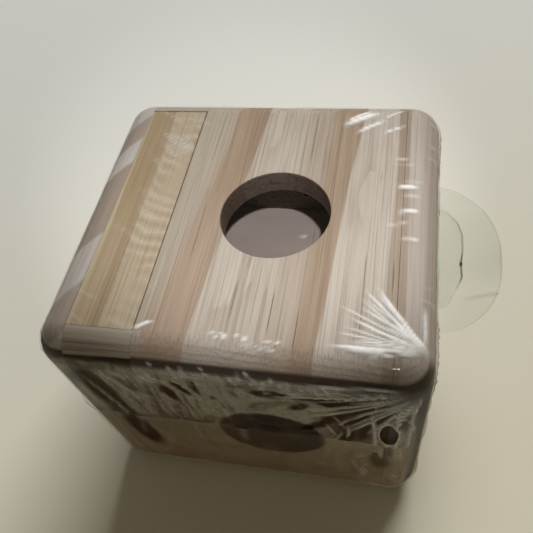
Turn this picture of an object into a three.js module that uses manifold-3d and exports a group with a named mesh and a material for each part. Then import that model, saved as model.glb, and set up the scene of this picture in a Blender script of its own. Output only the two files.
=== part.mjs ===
// A small hollow pine instrument case, glued up from planed boards, with one round opening through
// the top and one through the front, still sealed in clear shrink film with a corner ear on one side.
// Millimetres, +Z up. X runs along the front from left to right, +Y points to the back, and the
// origin is under the centre of the case, on the surface that the film rests on.

import * as THREE from "three";
import { RoundedBoxGeometry } from "three/addons/geometries/RoundedBoxGeometry.js";
import { mergeVertices } from "three/addons/utils/BufferGeometryUtils.js";
import Module from "manifold-3d";

const wasm = await Module();
wasm.setup();

// Case
const WIDTH = 120;
const DEPTH = 114;
const HEIGHT = 100;
const BOARD = 9; // top, bottom, front, back and shelf boards
const SIDE_BOARD = 11.5; // the two side boards are thicker
const EDGE_RADIUS = 10; // round-over on every outer edge, run after the case was glued up
const EDGE_STEPS = 5;
const GLUE_LINE = 0.1; // between two glued boards

// Openings
const OPENING_RADIUS = 18;
const OPENING_SIDES = 64;
const TOP_OPENING = { x: 8, y: -0.8 };
const FRONT_OPENING = { x: 10.5, z: 53 };

// Inlaid strip beside the top board
const STRIP_SEAM_X = -26.5; // right-hand end of the strip's bay
const STRIP_SEAM_WIDTH = 0.5; // the strip shrank away from the top board

// Shelf behind the top opening
const SHELF_TOP = 46;
const SHELF_FRONT_Y = 10;
const SHELF_SEAM_X = 12.7; // where the shelf's two boards meet
const PIN_HOLE = { x: 8.2, z: 55.5, radius: 1.2, sides: 16 }; // through the back board

// Shrink film
const FILM_CLEARANCE = 0.3;
const FILM_THICKNESS = 0.2;
const WELD_Z = 57; // the upper and lower sheets are welded round the case at this height
const WELD_GAP = 0.3;
const VENT = { x: 48.7, z: 66.5, halfWidth: 2.8, halfHeight: 8, sides: 32 };
const EAR = { backY: 54, frontY: -16, reach: 26, thickness: 0.4, steps: 24 };

// Worked-out places
const BASE_Z = FILM_CLEARANCE + FILM_THICKNESS; // underside of the case
const TOP_Z = BASE_Z + HEIGHT;
const HALF_WIDTH = WIDTH / 2;
const HALF_DEPTH = DEPTH / 2;
const INNER_X = HALF_WIDTH - SIDE_BOARD - GLUE_LINE; // boards between the sides reach this far
const INNER_Y = HALF_DEPTH - BOARD; // inner faces of the front and back boards
const FLOOR_Z = BASE_Z + BOARD; // inside floor
const CEILING_Z = TOP_Z - BOARD; // underside of the top board
const OVERSHOOT = 5; // cutting shapes run past the faces that they cut

const FINISHES = {
  greyPine: { color: 0x9c8a80, roughness: 0.62 },
  pinkPine: { color: 0xc2a794, roughness: 0.6 },
  yellowPine: { color: 0xc3a877, roughness: 0.6 },
  darkPine: { color: 0x8a6d5c, roughness: 0.68 },
  shelfPine: { color: 0xa99486, roughness: 0.72 },
  film: { color: 0xe8ece8, roughness: 0.08 },
};

// Turns a closed geometry into a solid that can be joined and cut.
function solidFrom(geometry) {
  const bare = geometry.clone();
  bare.deleteAttribute("normal");
  bare.deleteAttribute("uv");
  const merged = mergeVertices(bare);
  return new wasm.Manifold(new wasm.Mesh({
    numProp: 3,
    vertProperties: merged.attributes.position.array,
    triVerts: Uint32Array.from(merged.index.array),
  }));
}

// Turns a joined or cut solid back into a geometry.
function geometryFrom(solid) {
  const mesh = solid.getMesh();
  const geometry = new THREE.BufferGeometry();
  geometry.setAttribute("position", new THREE.BufferAttribute(mesh.vertProperties, 3));
  geometry.setIndex(new THREE.BufferAttribute(mesh.triVerts, 1));
  geometry.computeVertexNormals();
  return geometry;
}

// A block between two opposite corners.
function block(low, high) {
  const size = high.map((value, axis) => value - low[axis]);
  const geometry = new THREE.BoxGeometry(...size);
  geometry.translate(...high.map((value, axis) => (value + low[axis]) / 2));
  return solidFrom(geometry);
}

// The case's outer form, grown outwards by an offset all round.
function roundedForm(offset) {
  const size = [WIDTH, DEPTH, HEIGHT].map((value) => value + 2 * offset);
  const geometry = new RoundedBoxGeometry(...size, EDGE_STEPS, EDGE_RADIUS + offset);
  geometry.translate(0, 0, BASE_Z + HEIGHT / 2);
  return solidFrom(geometry);
}

// A round or oval rod along Z or Y that cuts an opening; half sizes are along X and the other axis.
function openingCutter({ axis, centre, halfSizes, length, sides }) {
  const geometry = new THREE.CylinderGeometry(1, 1, length, sides); // along Y
  geometry.scale(halfSizes[0], 1, halfSizes[1]);
  if (axis === "z") geometry.rotateX(Math.PI / 2);
  geometry.translate(...centre);
  return solidFrom(geometry);
}

const caseForm = roundedForm(0);

// A board is a block trimmed by the round-over of the glued-up case.
const board = (low, high) => block(low, high).intersect(caseForm);

function sideBoard(side) {
  const inner = side * (HALF_WIDTH - SIDE_BOARD);
  const outer = side * HALF_WIDTH;
  return board(
    [Math.min(inner, outer), -HALF_DEPTH, BASE_Z],
    [Math.max(inner, outer), HALF_DEPTH, TOP_Z],
  );
}

// The front and back boards stand between the top and bottom boards, and a tongue at the left of
// each rises to the top face, closing the ends of the strip's bay.
function endBoard(side) {
  const nearY = Math.min(side * INNER_Y, side * HALF_DEPTH);
  const farY = Math.max(side * INNER_Y, side * HALF_DEPTH);
  const wall = board(
    [-INNER_X, nearY, FLOOR_Z + GLUE_LINE],
    [INNER_X, farY, CEILING_Z - GLUE_LINE],
  );
  const tongue = board(
    [-INNER_X, nearY, CEILING_Z - BOARD],
    [STRIP_SEAM_X - GLUE_LINE, farY, TOP_Z],
  );
  return wall.add(tongue);
}

function frontBoard() {
  return endBoard(-1).subtract(openingCutter({
    axis: "y",
    centre: [FRONT_OPENING.x, -HALF_DEPTH, FRONT_OPENING.z],
    halfSizes: [OPENING_RADIUS, OPENING_RADIUS],
    length: 2 * BOARD + OVERSHOOT,
    sides: OPENING_SIDES,
  }));
}

function backBoard() {
  return endBoard(1).subtract(openingCutter({
    axis: "y",
    centre: [PIN_HOLE.x, HALF_DEPTH, PIN_HOLE.z],
    halfSizes: [PIN_HOLE.radius, PIN_HOLE.radius],
    length: 2 * BOARD + OVERSHOOT,
    sides: PIN_HOLE.sides,
  }));
}

function topBoard() {
  const plank = board([STRIP_SEAM_X, -HALF_DEPTH, CEILING_Z], [INNER_X, HALF_DEPTH, TOP_Z]);
  return plank.subtract(openingCutter({
    axis: "z",
    centre: [TOP_OPENING.x, TOP_OPENING.y, TOP_Z],
    halfSizes: [OPENING_RADIUS, OPENING_RADIUS],
    length: 2 * BOARD + OVERSHOOT,
    sides: OPENING_SIDES,
  }));
}

function topStrip() {
  const reachY = INNER_Y - GLUE_LINE;
  return board([-INNER_X, -reachY, CEILING_Z], [STRIP_SEAM_X - STRIP_SEAM_WIDTH, reachY, TOP_Z]);
}

const bottomBoard = () => board([-INNER_X, -HALF_DEPTH, BASE_Z], [INNER_X, HALF_DEPTH, FLOOR_Z]);

const shelfBoard = (fromX, toX) =>
  block([fromX, SHELF_FRONT_Y, SHELF_TOP - BOARD], [toX, INNER_Y - GLUE_LINE, SHELF_TOP]);

// One sheet of film: the part of a thin shell round the case that lies between two heights.
function filmSheet(lowZ, highZ) {
  const shell = roundedForm(FILM_CLEARANCE + FILM_THICKNESS).subtract(roundedForm(FILM_CLEARANCE));
  const slab = block(
    [-WIDTH, -DEPTH, lowZ],
    [WIDTH, DEPTH, highZ],
  );
  return shell.intersect(slab);
}

// The upper sheet has a hole that hot air left through while the film shrank.
function upperFilm() {
  const vent = openingCutter({
    axis: "y",
    centre: [VENT.x, -HALF_DEPTH, VENT.z],
    halfSizes: [VENT.halfWidth, VENT.halfHeight],
    length: OVERSHOOT,
    sides: VENT.sides,
  });
  return filmSheet(WELD_Z + WELD_GAP / 2, TOP_Z + OVERSHOOT).subtract(vent);
}

const lowerFilm = () => filmSheet(-OVERSHOOT, WELD_Z - WELD_GAP / 2);

// The ear is the trimmed corner of the two welded sheets: a flat half-ellipse on the right side,
// at the height of the weld.
function filmEar() {
  const rootX = HALF_WIDTH + BASE_Z + FILM_CLEARANCE;
  const halfSpan = (EAR.backY - EAR.frontY) / 2;
  const outline = new THREE.Shape();
  outline.moveTo(rootX, EAR.frontY);
  outline.absellipse(rootX, EAR.frontY + halfSpan, EAR.reach, halfSpan, -Math.PI / 2, Math.PI / 2);
  outline.closePath();
  const geometry = new THREE.ExtrudeGeometry(outline, {
    depth: EAR.thickness,
    bevelEnabled: false,
    curveSegments: EAR.steps,
  });
  geometry.translate(0, 0, WELD_Z - EAR.thickness / 2);
  return solidFrom(geometry);
}

const PIECES = [
  ["left_side_board", sideBoard(-1), "greyPine"],
  ["right_side_board", sideBoard(1), "pinkPine"],
  ["front_board", frontBoard(), "greyPine"],
  ["back_board", backBoard(), "darkPine"],
  ["top_board", topBoard(), "pinkPine"],
  ["top_inlay_strip", topStrip(), "yellowPine"],
  ["bottom_board", bottomBoard(), "greyPine"],
  ["shelf_board_wide", shelfBoard(-INNER_X, SHELF_SEAM_X - GLUE_LINE), "shelfPine"],
  ["shelf_board_narrow", shelfBoard(SHELF_SEAM_X, INNER_X), "shelfPine"],
  ["film_upper_sheet", upperFilm(), "film"],
  ["film_lower_sheet", lowerFilm(), "film"],
  ["film_ear", filmEar(), "film"],
];

const instrumentCase = new THREE.Group();
for (const [name, solid, finish] of PIECES) {
  const material = new THREE.MeshStandardMaterial({ ...FINISHES[finish], metalness: 0 });
  const mesh = new THREE.Mesh(geometryFrom(solid), material);
  mesh.name = name;
  instrumentCase.add(mesh);
}

export default instrumentCase;
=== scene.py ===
"""The looks of a small pine instrument case, glued up from planed boards and sealed in shrink film.

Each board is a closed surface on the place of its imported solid, with a finer round-over, and wears
its own pine finish. The film is two sheets welded round the case, with an ear on the right.
Shapes are worked out in millimetres, with +Z up and the front facing -Y.
"""

import logging
import math
from dataclasses import dataclass, field
from enum import Enum
from typing import Any, Callable, Sequence

import bpy
import numpy as np
from mathutils import Matrix, Vector


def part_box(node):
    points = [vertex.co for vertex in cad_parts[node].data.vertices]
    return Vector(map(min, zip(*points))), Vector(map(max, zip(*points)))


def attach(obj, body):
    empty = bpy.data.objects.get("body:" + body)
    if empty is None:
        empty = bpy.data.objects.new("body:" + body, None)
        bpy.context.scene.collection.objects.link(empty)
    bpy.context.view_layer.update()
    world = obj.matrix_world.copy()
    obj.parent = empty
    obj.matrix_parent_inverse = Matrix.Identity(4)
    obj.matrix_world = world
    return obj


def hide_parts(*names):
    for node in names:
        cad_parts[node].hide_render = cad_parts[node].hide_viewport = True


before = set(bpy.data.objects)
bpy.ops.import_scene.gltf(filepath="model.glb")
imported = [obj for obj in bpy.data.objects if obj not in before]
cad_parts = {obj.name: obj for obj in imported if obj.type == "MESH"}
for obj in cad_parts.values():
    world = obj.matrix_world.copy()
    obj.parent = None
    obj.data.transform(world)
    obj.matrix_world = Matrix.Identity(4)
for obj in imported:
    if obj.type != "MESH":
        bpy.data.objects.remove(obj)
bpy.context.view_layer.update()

LOG = logging.getLogger("instrument_case")
MM = 0.001  # metres in a millimetre
Colour = tuple[float, float, float]
Span = tuple[float, float]
PAINTED_SHADE_BROWN: Colour = (0.034, 0.017, 0.009)  # painted shade on the end grain and edges under the round-over


def node_box(name: str) -> tuple[np.ndarray, np.ndarray]:
    """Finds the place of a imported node.

    Args:
        name: The node's name.

    Returns:
        Its lowest and highest corners, in millimetres.
    """
    low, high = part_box(name)
    return np.array(low) / MM, np.array(high) / MM


def ease(low: float, high: float, value: np.ndarray) -> np.ndarray:
    """Rises smoothly from 0 to 1 as value goes from low to high: t squared times (3 minus 2t).

    Args:
        low: Where the rise starts.
        high: Where it ends; below low, the curve falls instead.
        value: The values to look up.

    Returns:
        The eased values.
    """
    t = np.clip((value - low) / (high - low), 0.0, 1.0)
    return t * t * (3.0 - 2.0 * t)


def bell(offset: np.ndarray, width: float) -> np.ndarray:
    """A bell curve: 1 where offset is 0, and e to the minus (offset over width) squared elsewhere."""
    return np.exp(-((offset / width) ** 2))


# ---------------------------------------------------------------------------------------------
# Shader writing
# ---------------------------------------------------------------------------------------------


class Signal:
    """A shader socket that carries one number; sums and products of signals add Math nodes."""

    def __init__(self, bench: "Bench", socket: Any) -> None:
        """Wraps a socket.

        Args:
            bench: The material that is being written.
            socket: The output socket.
        """
        self.bench = bench
        self.socket = socket

    def _math(self, operation: str, *values: Any) -> "Signal":
        """Adds one Math node of that operation on the values."""
        node = self.bench.node(
            "ShaderNodeMath", {"operation": operation}, dict(enumerate(values))
        )
        return Signal(self.bench, node.outputs[0])

    def __add__(self, other: Any) -> "Signal":
        """Adds a signal or number."""
        return self._math("ADD", self, other)

    __radd__ = __add__

    def __sub__(self, other: Any) -> "Signal":
        """Takes a signal or number away."""
        return self._math("SUBTRACT", self, other)

    def __rsub__(self, other: Any) -> "Signal":
        """Takes this signal away from a number."""
        return self._math("SUBTRACT", other, self)

    def __mul__(self, other: Any) -> "Signal":
        """Multiplies by a signal or number."""
        return self._math("MULTIPLY", self, other)

    __rmul__ = __mul__

    def __truediv__(self, other: Any) -> "Signal":
        """Divides by a signal or number."""
        return self._math("DIVIDE", self, other)

    def __pow__(self, other: Any) -> "Signal":
        """Raises to a power."""
        return self._math("POWER", self, other)

    def largest(self, other: Any) -> "Signal":
        """The larger of this and another value."""
        return self._math("MAXIMUM", self, other)

    def smallest(self, other: Any) -> "Signal":
        """The smaller of this and another value."""
        return self._math("MINIMUM", self, other)

    def size(self) -> "Signal":
        """The value without its sign."""
        return self._math("ABSOLUTE", self)

    def sine(self) -> "Signal":
        """The sine of the value."""
        return self._math("SINE", self)

    def root(self) -> "Signal":
        """The square root of the value."""
        return self._math("SQRT", self)

    def turn_from(self, other: Any) -> "Signal":
        """The angle whose tangent is this over other."""
        return self._math("ARCTAN2", self, other)

    def fraction(self) -> "Signal":
        """What is left after the whole part."""
        return self._math("FRACT", self)

    def rise(self, low: float, high: float) -> "Signal":
        """Rises smoothly from 0 to 1 between low and high, or falls where high is below low.

        Args:
            low: Where the value is 0.
            high: Where the value is 1.

        Returns:
            The eased signal.
        """
        turned = high < low
        near, far = (high, low) if turned else (low, high)
        ends = {3: 1.0, 4: 0.0} if turned else {3: 0.0, 4: 1.0}
        node = self.bench.node(
            "ShaderNodeMapRange",
            {"interpolation_type": "SMOOTHSTEP"},
            {0: self, 1: near, 2: far, **ends},
        )
        return Signal(self.bench, node.outputs[0])


Axes = tuple[Signal, Signal, Signal]


class Bench:
    """One material while its nodes are being written."""

    def __init__(self, name: str) -> None:
        """Starts an empty material.

        Args:
            name: The material's name.
        """
        self.material = bpy.data.materials.new(name)
        self.material.use_nodes = True
        self.tree = self.material.node_tree
        self.tree.nodes.clear()

    def node(
        self,
        kind: str,
        settings: dict[str, Any] | None = None,
        sockets: dict[Any, Any] | None = None,
    ) -> Any:
        """Adds a node, sets its options first and then fills its sockets.

        Args:
            kind: The node's type name.
            settings: Options such as a Math node's operation.
            sockets: What goes into each input, by name or number: a number, colour, Signal or socket.

        Returns:
            The node.
        """
        made = self.tree.nodes.new(kind)
        for option, value in (settings or {}).items():
            setattr(made, option, value)
        for key, value in (sockets or {}).items():
            target = made.inputs[key]
            if isinstance(value, Signal):
                self.tree.links.new(value.socket, target)
            elif isinstance(value, bpy.types.NodeSocket):
                self.tree.links.new(value, target)
            elif isinstance(value, tuple) and target.type == "RGBA":
                target.default_value = (*value, 1.0)
            else:
                target.default_value = value
        return made

    def place(self) -> Axes:
        """Reads where a surface point is on the object.

        Returns:
            X, Y and Z in millimetres.
        """
        where = self.node("ShaderNodeTexCoord").outputs["Object"]
        split = self.node("ShaderNodeSeparateXYZ", None, {0: where})
        return tuple(Signal(self, out) * (1.0 / MM) for out in split.outputs)

    def spot(self, x: Any, y: Any, z: Any) -> Any:
        """Joins three signals or numbers into a point."""
        return self.node("ShaderNodeCombineXYZ", None, {0: x, 1: y, 2: z}).outputs[0]

    def noise(self, where: Any, scale: float = 1.0, detail: float = 2.0, rough: float = 0.5) -> Signal:
        """Cloudy noise from 0 to 1.

        Args:
            where: The point that it is read at.
            scale: How many clouds to a unit.
            detail: How many finer layers.
            rough: How strong the finer layers are.

        Returns:
            The noise.
        """
        made = self.node(
            "ShaderNodeTexNoise",
            {"noise_dimensions": "3D"},
            {"Vector": where, "Scale": scale, "Detail": detail, "Roughness": rough},
        )
        return Signal(self, made.outputs[0])

    def blend(self, factor: Any, first: Any, second: Any, mode: str = "MIX") -> Any:
        """Mixes two colours.

        Args:
            factor: 0 gives the first colour and 1 the second.
            first: A colour or colour socket.
            second: A colour or colour socket.
            mode: How the second goes over the first.

        Returns:
            The colour socket.
        """
        made = self.node(
            "ShaderNodeMix",
            {"data_type": "RGBA", "blend_type": mode, "clamp_factor": True},
            {0: factor, 6: first, 7: second},
        )
        return made.outputs[2]

    def finish(self, shader: Any) -> bpy.types.Material:
        """Sends a shader to the material's output and returns the material."""
        self.node("ShaderNodeOutputMaterial", None, {"Surface": shader})
        return self.material


# ---------------------------------------------------------------------------------------------
# Pine finishes
# ---------------------------------------------------------------------------------------------


class Grain(Enum):
    """Which way a board's grain runs; the values put (across, along, depth) in X, Y, Z order."""

    FRONT_TO_BACK = (0, 1, 2)
    LEFT_TO_RIGHT = (2, 0, 1)
    SHELF_LEFT_TO_RIGHT = (1, 0, 2)


@dataclass(frozen=True)
class Streak:
    """A coloured streak that runs along the grain. Sizes are in millimetres.

    left and right are its borders across the board where the along coordinate is 0, the slants
    say how far a border moves for each millimetre along the grain, and the softs are the widths
    that the borders fade over. span says where along the grain it starts and ends.
    """

    left: float
    right: float
    colour: Colour
    strength: float = 1.0
    left_slant: float = 0.0
    right_slant: float = 0.0
    left_soft: float = 2.0
    right_soft: float = 2.0
    span: Span | None = None
    span_soft: float = 8.0
    span_slant: float = 0.0


@dataclass(frozen=True)
class Crack:
    """A short dark drying crack along the grain, in millimetres."""

    across: float
    start: float
    end: float
    width: float = 0.26
    strength: float = 0.5


@dataclass(frozen=True)
class PineFinish:
    """Planed pine: growth rings round a pith line, long fibres, streaks, cracks and a dull sheen."""

    name: str
    pale: Colour
    dark: Colour
    grain: Grain = Grain.FRONT_TO_BACK
    pith: Span = (10.0, -140.0)  # across and depth of the tree's middle
    ring_pitch: float = 1.7
    ring_strength: float = 0.35
    fibre_strength: float = 0.5
    mottle_strength: float = 0.35
    streaks: tuple[Streak, ...] = ()
    cracks: tuple[Crack, ...] = ()
    crack_colour: Colour = (0.055, 0.034, 0.022)
    curl: float = 0.0  # strength of the bands across a curly board
    curl_span: Span = (0.0, 1.0)
    curl_gleam: Colour = (0.62, 0.54, 0.43)  # the bands' bright sides
    roughness: Span = (0.5, 0.68)
    sheen: float = 0.32
    relief: float = 0.25
    fuzz_and_shade: float = 0.0  # torn, unsanded fibres and painted shade, on the part below fuzz_depth
    fuzz_depth: float = 0.0
    # colours of the painted shade on the torn face
    torn_shade_colour: Colour = (0.06, 0.034, 0.026)
    torn_deep_shade: Colour = (0.012, 0.008, 0.006)
    bore: tuple[float, float, float] | None = None  # across, along and radius of an opening
    bore_colour: Colour = (0.27, 0.20, 0.15)
    end_rings: float = 0.0  # strength of the level ring lines on the front end grain
    end_start: float = -48.0  # where the front round-over starts, along the grain
    end_pitch: float = 1.05
    painted_shade_band: Span = (97.4, 96.2)  # heights between which painted shade darkens the front end
    seed: float = 0.0

    def _streak_mask(self, streak: Streak, across: Signal, along: Signal, depth: Signal) -> Signal:
        """Works out where a streak shows: inside both slanting borders and inside its span.

        Args:
            streak: The streak.
            across: The warped coordinate across the grain.
            along: The coordinate along the grain.
            depth: The coordinate through the board, which the ends of a streak lean with.

        Returns:
            A mask from 0 to its strength.
        """
        left = across - (along * streak.left_slant + streak.left)
        right = (along * streak.right_slant + streak.right) - across
        mask = left.rise(-0.5 * streak.left_soft, 0.5 * streak.left_soft)
        mask = mask * right.rise(-0.5 * streak.right_soft, 0.5 * streak.right_soft)
        if streak.span is not None:
            slid = along + across * streak.span_slant + (depth - 100.0) * 0.8
            mask = mask * slid.rise(streak.span[0], streak.span[0] + streak.span_soft)
            mask = mask * slid.rise(streak.span[1], streak.span[1] - streak.span_soft)
        return mask * streak.strength

    def _crack_mask(self, crack: Crack, across: Signal, along: Signal) -> Signal:
        """Works out where a crack shows: close to its line and between its ends.

        Args:
            crack: The crack.
            across: The warped coordinate across the grain.
            along: The coordinate along the grain.

        Returns:
            A mask from 0 to its strength.
        """
        near = (across - crack.across).size().rise(crack.width, 0.2 * crack.width)
        ends = along.rise(crack.start - 2.0, crack.start + 3.0)
        ends = ends * along.rise(crack.end + 2.0, crack.end - 3.0)
        return near * ends * crack.strength

    def _stretched(
        self,
        bench: Bench,
        axes: Axes,
        pitch: float,
        length: float,
        shift: float,
        detail: float = 2.0,
    ) -> Signal:
        """Noise that is drawn out along the grain.

        Args:
            bench: The material.
            axes: The coordinates across the grain, along it and through the board.
            pitch: The size of its clouds across the grain.
            length: Their size along it.
            shift: How far it is slid, on top of the board's seed.
            detail: How many finer layers.

        Returns:
            The noise.
        """
        across, along, depth = axes
        where = bench.spot(
            across * (1.0 / pitch) + (self.seed + shift),
            along * (1.0 / length),
            depth * (1.0 / pitch),
        )
        return bench.noise(where, 1.0, detail)

    def _rings(self, bench: Bench, axes: Axes, drift: Signal, wobble: Signal) -> Signal:
        """Growth rings: each darkens slowly and ends sharply, and they come and go in patches.

        The distance from the pith line, warped by slow noise, is divided by the ring pitch.

        Args:
            bench: The material.
            axes: The coordinates across the grain, along it and through the board.
            drift: The slowest noise.
            wobble: Quicker noise.

        Returns:
            The rings' mask.
        """
        across, _, depth = axes
        from_pith = across - self.pith[0] + drift * 9.0
        below = depth - self.pith[1] + wobble * 2.6
        radius = (from_pith * from_pith + below * below).root()
        phase = ((radius + wobble * 1.2) / self.ring_pitch).fraction()
        ring = phase.rise(0.35, 0.93) * phase.rise(1.0, 0.94)
        patches = self._stretched(bench, axes, 17.0, 60.0, 9.7)
        return ring * patches.rise(0.3, 0.7)

    def _curly(self, bench: Bench, axes: Axes, colour: Any) -> Any:
        """Lays slanting dark and bright bands across a curly board: a sine along it, bent by noise.

        Args:
            bench: The material.
            axes: The coordinates across the grain, along it and through the board.
            colour: The colour so far.

        Returns:
            The colour with the bands in it.
        """
        across, along, _ = axes
        shown = across.rise(self.curl_span[0] - 1.5, self.curl_span[0] + 1.5)
        shown = shown * across.rise(self.curl_span[1] + 1.0, self.curl_span[1] - 1.0)
        swing = self._stretched(bench, axes, 12.0, 20.0, 1.7, 1.0) - 0.5
        wave = (along * 1.25 + across * 0.42 + swing * 13.0).sine() * 0.5 + 0.5
        uneven = self._stretched(bench, axes, 11.0, 23.0, 4.4, 1.0).rise(0.35, 0.65)
        band = wave.rise(0.62, 0.98) * shown * uneven
        colour = bench.blend(band * self.curl, colour, tuple(0.66 * c for c in self.pale))
        bright = wave.rise(0.4, 0.0) * shown * uneven
        return bench.blend(bright * (0.7 * self.curl), colour, self.curl_gleam)

    def _end_grain(self, bench: Bench, axes: Axes, drift: Signal, colour: Any) -> Any:
        """Draws level ring lines on the front end grain and paints shade on it under the round-over.

        Args:
            bench: The material.
            axes: The coordinates across the grain, along it and through the board.
            drift: The slowest noise.
            colour: The colour so far.

        Returns:
            The colour with the end grain in it.
        """
        across, along, depth = axes
        end = along.rise(self.end_start, self.end_start - 4.0)
        # painted shade under the front round-over
        shaded = along.rise(self.end_start + 4.0, self.end_start - 2.0)
        shaded = shaded * depth.rise(*self.painted_shade_band)
        line = ((depth + across * 0.03 + drift * 2.0) * (1.0 / self.end_pitch)).fraction()
        line = line.rise(0.35, 0.9) * line.rise(1.0, 0.93)
        colour = bench.blend(line * end * self.end_rings, colour, self.dark)
        return bench.blend(shaded * 0.95, colour, PAINTED_SHADE_BROWN)

    def _cracked(self, across: Signal, along: Signal) -> Signal:
        """Works out where any crack shows: the largest of their masks.

        Args:
            across: The warped coordinate across the grain.
            along: The coordinate along the grain.

        Returns:
            The mask.
        """
        masks = [self._crack_mask(crack, across, along) for crack in self.cracks]
        split = masks[0]
        for mask in masks[1:]:
            split = split.largest(mask)
        return split

    def _torn(self, bench: Bench, axes: Axes, colour: Any, height: Signal) -> tuple[Any, Signal]:
        """Roughens the part below fuzz_depth with torn fibres and darkens it with painted shade.

        Args:
            bench: The material.
            axes: The coordinates across the grain, along it and through the board.
            colour: The colour so far.
            height: The relief so far.

        Returns:
            The colour and the relief with the torn part in them.
        """
        across, along, depth = axes
        rough = depth.rise(self.fuzz_depth + 0.4, self.fuzz_depth - 0.4) * self.fuzz_and_shade
        torn = bench.noise(bench.spot(across, along * 0.5, depth), 1.4, 4.0, 0.7)
        colour = bench.blend(rough * 0.75, colour, self.torn_shade_colour)
        colour = bench.blend(torn.rise(0.45, 0.7) * rough, colour, self.torn_deep_shade)
        return colour, height + torn * rough * 3.0

    def _bored(self, bench: Bench, axes: Axes, colour: Any) -> Any:
        """Darkens the sawn wall of a round opening: everything within its radius of the middle.

        Args:
            bench: The material.
            axes: The coordinates across the grain, along it and through the board.
            colour: The colour so far.

        Returns:
            The colour with the wall in it.
        """
        across, along, depth = axes
        middle_across, middle_along, radius = self.bore
        off_across = across - middle_across
        off_along = along - middle_along
        reach = (off_across * off_across + off_along * off_along).root()
        cut = reach.rise(radius + 0.35, radius + 0.1)
        colour = bench.blend(cut * 0.8, colour, self.bore_colour)
        sawn = bench.noise(bench.spot(across * 0.5, along * 0.5, depth), 1.0, 5.0, 0.7)
        deep = tuple(0.3 * c for c in self.bore_colour)
        return bench.blend(cut * sawn.rise(0.4, 0.68) * 0.6, colour, deep)

    def material(self) -> bpy.types.Material:
        """Writes the finish: mottle, streaks, rings and fibres, then what this board has besides.

        Fibres and pores are noise stretched along the grain, and the relief adds up the same masks.

        Returns:
            The material.
        """
        bench = Bench(self.name)
        places = bench.place()
        axes = tuple(places[i] for i in self.grain.value)
        across, along, depth = axes

        drift = self._stretched(bench, axes, 26.0, 90.0, 0.0, 1.0) - 0.5
        wobble = self._stretched(bench, axes, 7.0, 45.0, 3.1) - 0.5
        waved = across + drift * 5.0 + wobble * 1.6
        ring = self._rings(bench, axes, drift, wobble)
        fibre = self._stretched(bench, axes, 0.5, 60.0, 5.3, 3.0)
        hair = self._stretched(bench, axes, 0.24, 20.0, 7.9)
        mottle = self._stretched(bench, axes, 9.0, 34.0, 2.2, 3.0)

        colour = bench.blend(mottle.rise(0.3, 0.75) * self.mottle_strength, self.pale, self.dark)
        for streak in self.streaks:
            mask = self._streak_mask(streak, waved, along, depth)
            colour = bench.blend(mask, colour, streak.colour)
        colour = bench.blend(ring * self.ring_strength, colour, self.dark)
        lines = fibre.rise(0.46, 0.72) * self.fibre_strength
        colour = bench.blend(lines * 0.55, colour, self.dark, "MULTIPLY")
        gleam = fibre.rise(0.46, 0.28) * (0.22 * self.fibre_strength)
        colour = bench.blend(gleam, colour, tuple(min(1.0, c * 1.35) for c in self.pale))
        pores = hair.rise(0.62, 0.78) * 0.3
        colour = bench.blend(pores, colour, tuple(0.35 * c for c in self.dark))
        height = fibre * 0.6 + hair * 0.4 + ring * 0.5

        if self.curl > 0.0:
            colour = self._curly(bench, axes, colour)
        # the end-grain step also paints the shade under the front round-over
        if self.end_rings > 0.0:
            colour = self._end_grain(bench, axes, drift, colour)
        if self.cracks:
            split = self._cracked(across + wobble * 0.7, along)
            colour = bench.blend(split, colour, self.crack_colour)
            height = height - split * 1.6
        if self.fuzz_and_shade > 0.0:
            colour, height = self._torn(bench, axes, colour, height)
        if self.bore is not None:
            colour = self._bored(bench, axes, colour)

        dull = fibre * (self.roughness[1] - self.roughness[0]) + self.roughness[0]
        bump = bench.node(
            "ShaderNodeBump", None, {"Strength": self.relief, "Distance": 0.00035, "Height": height}
        )
        wood = bench.node(
            "ShaderNodeBsdfPrincipled",
            None,
            {"Base Color": colour, "Roughness": dull, "Normal": bump.outputs[0]},
        )
        wood.inputs["Specular IOR Level"].default_value = self.sheen
        return bench.finish(wood.outputs[0])


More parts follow.
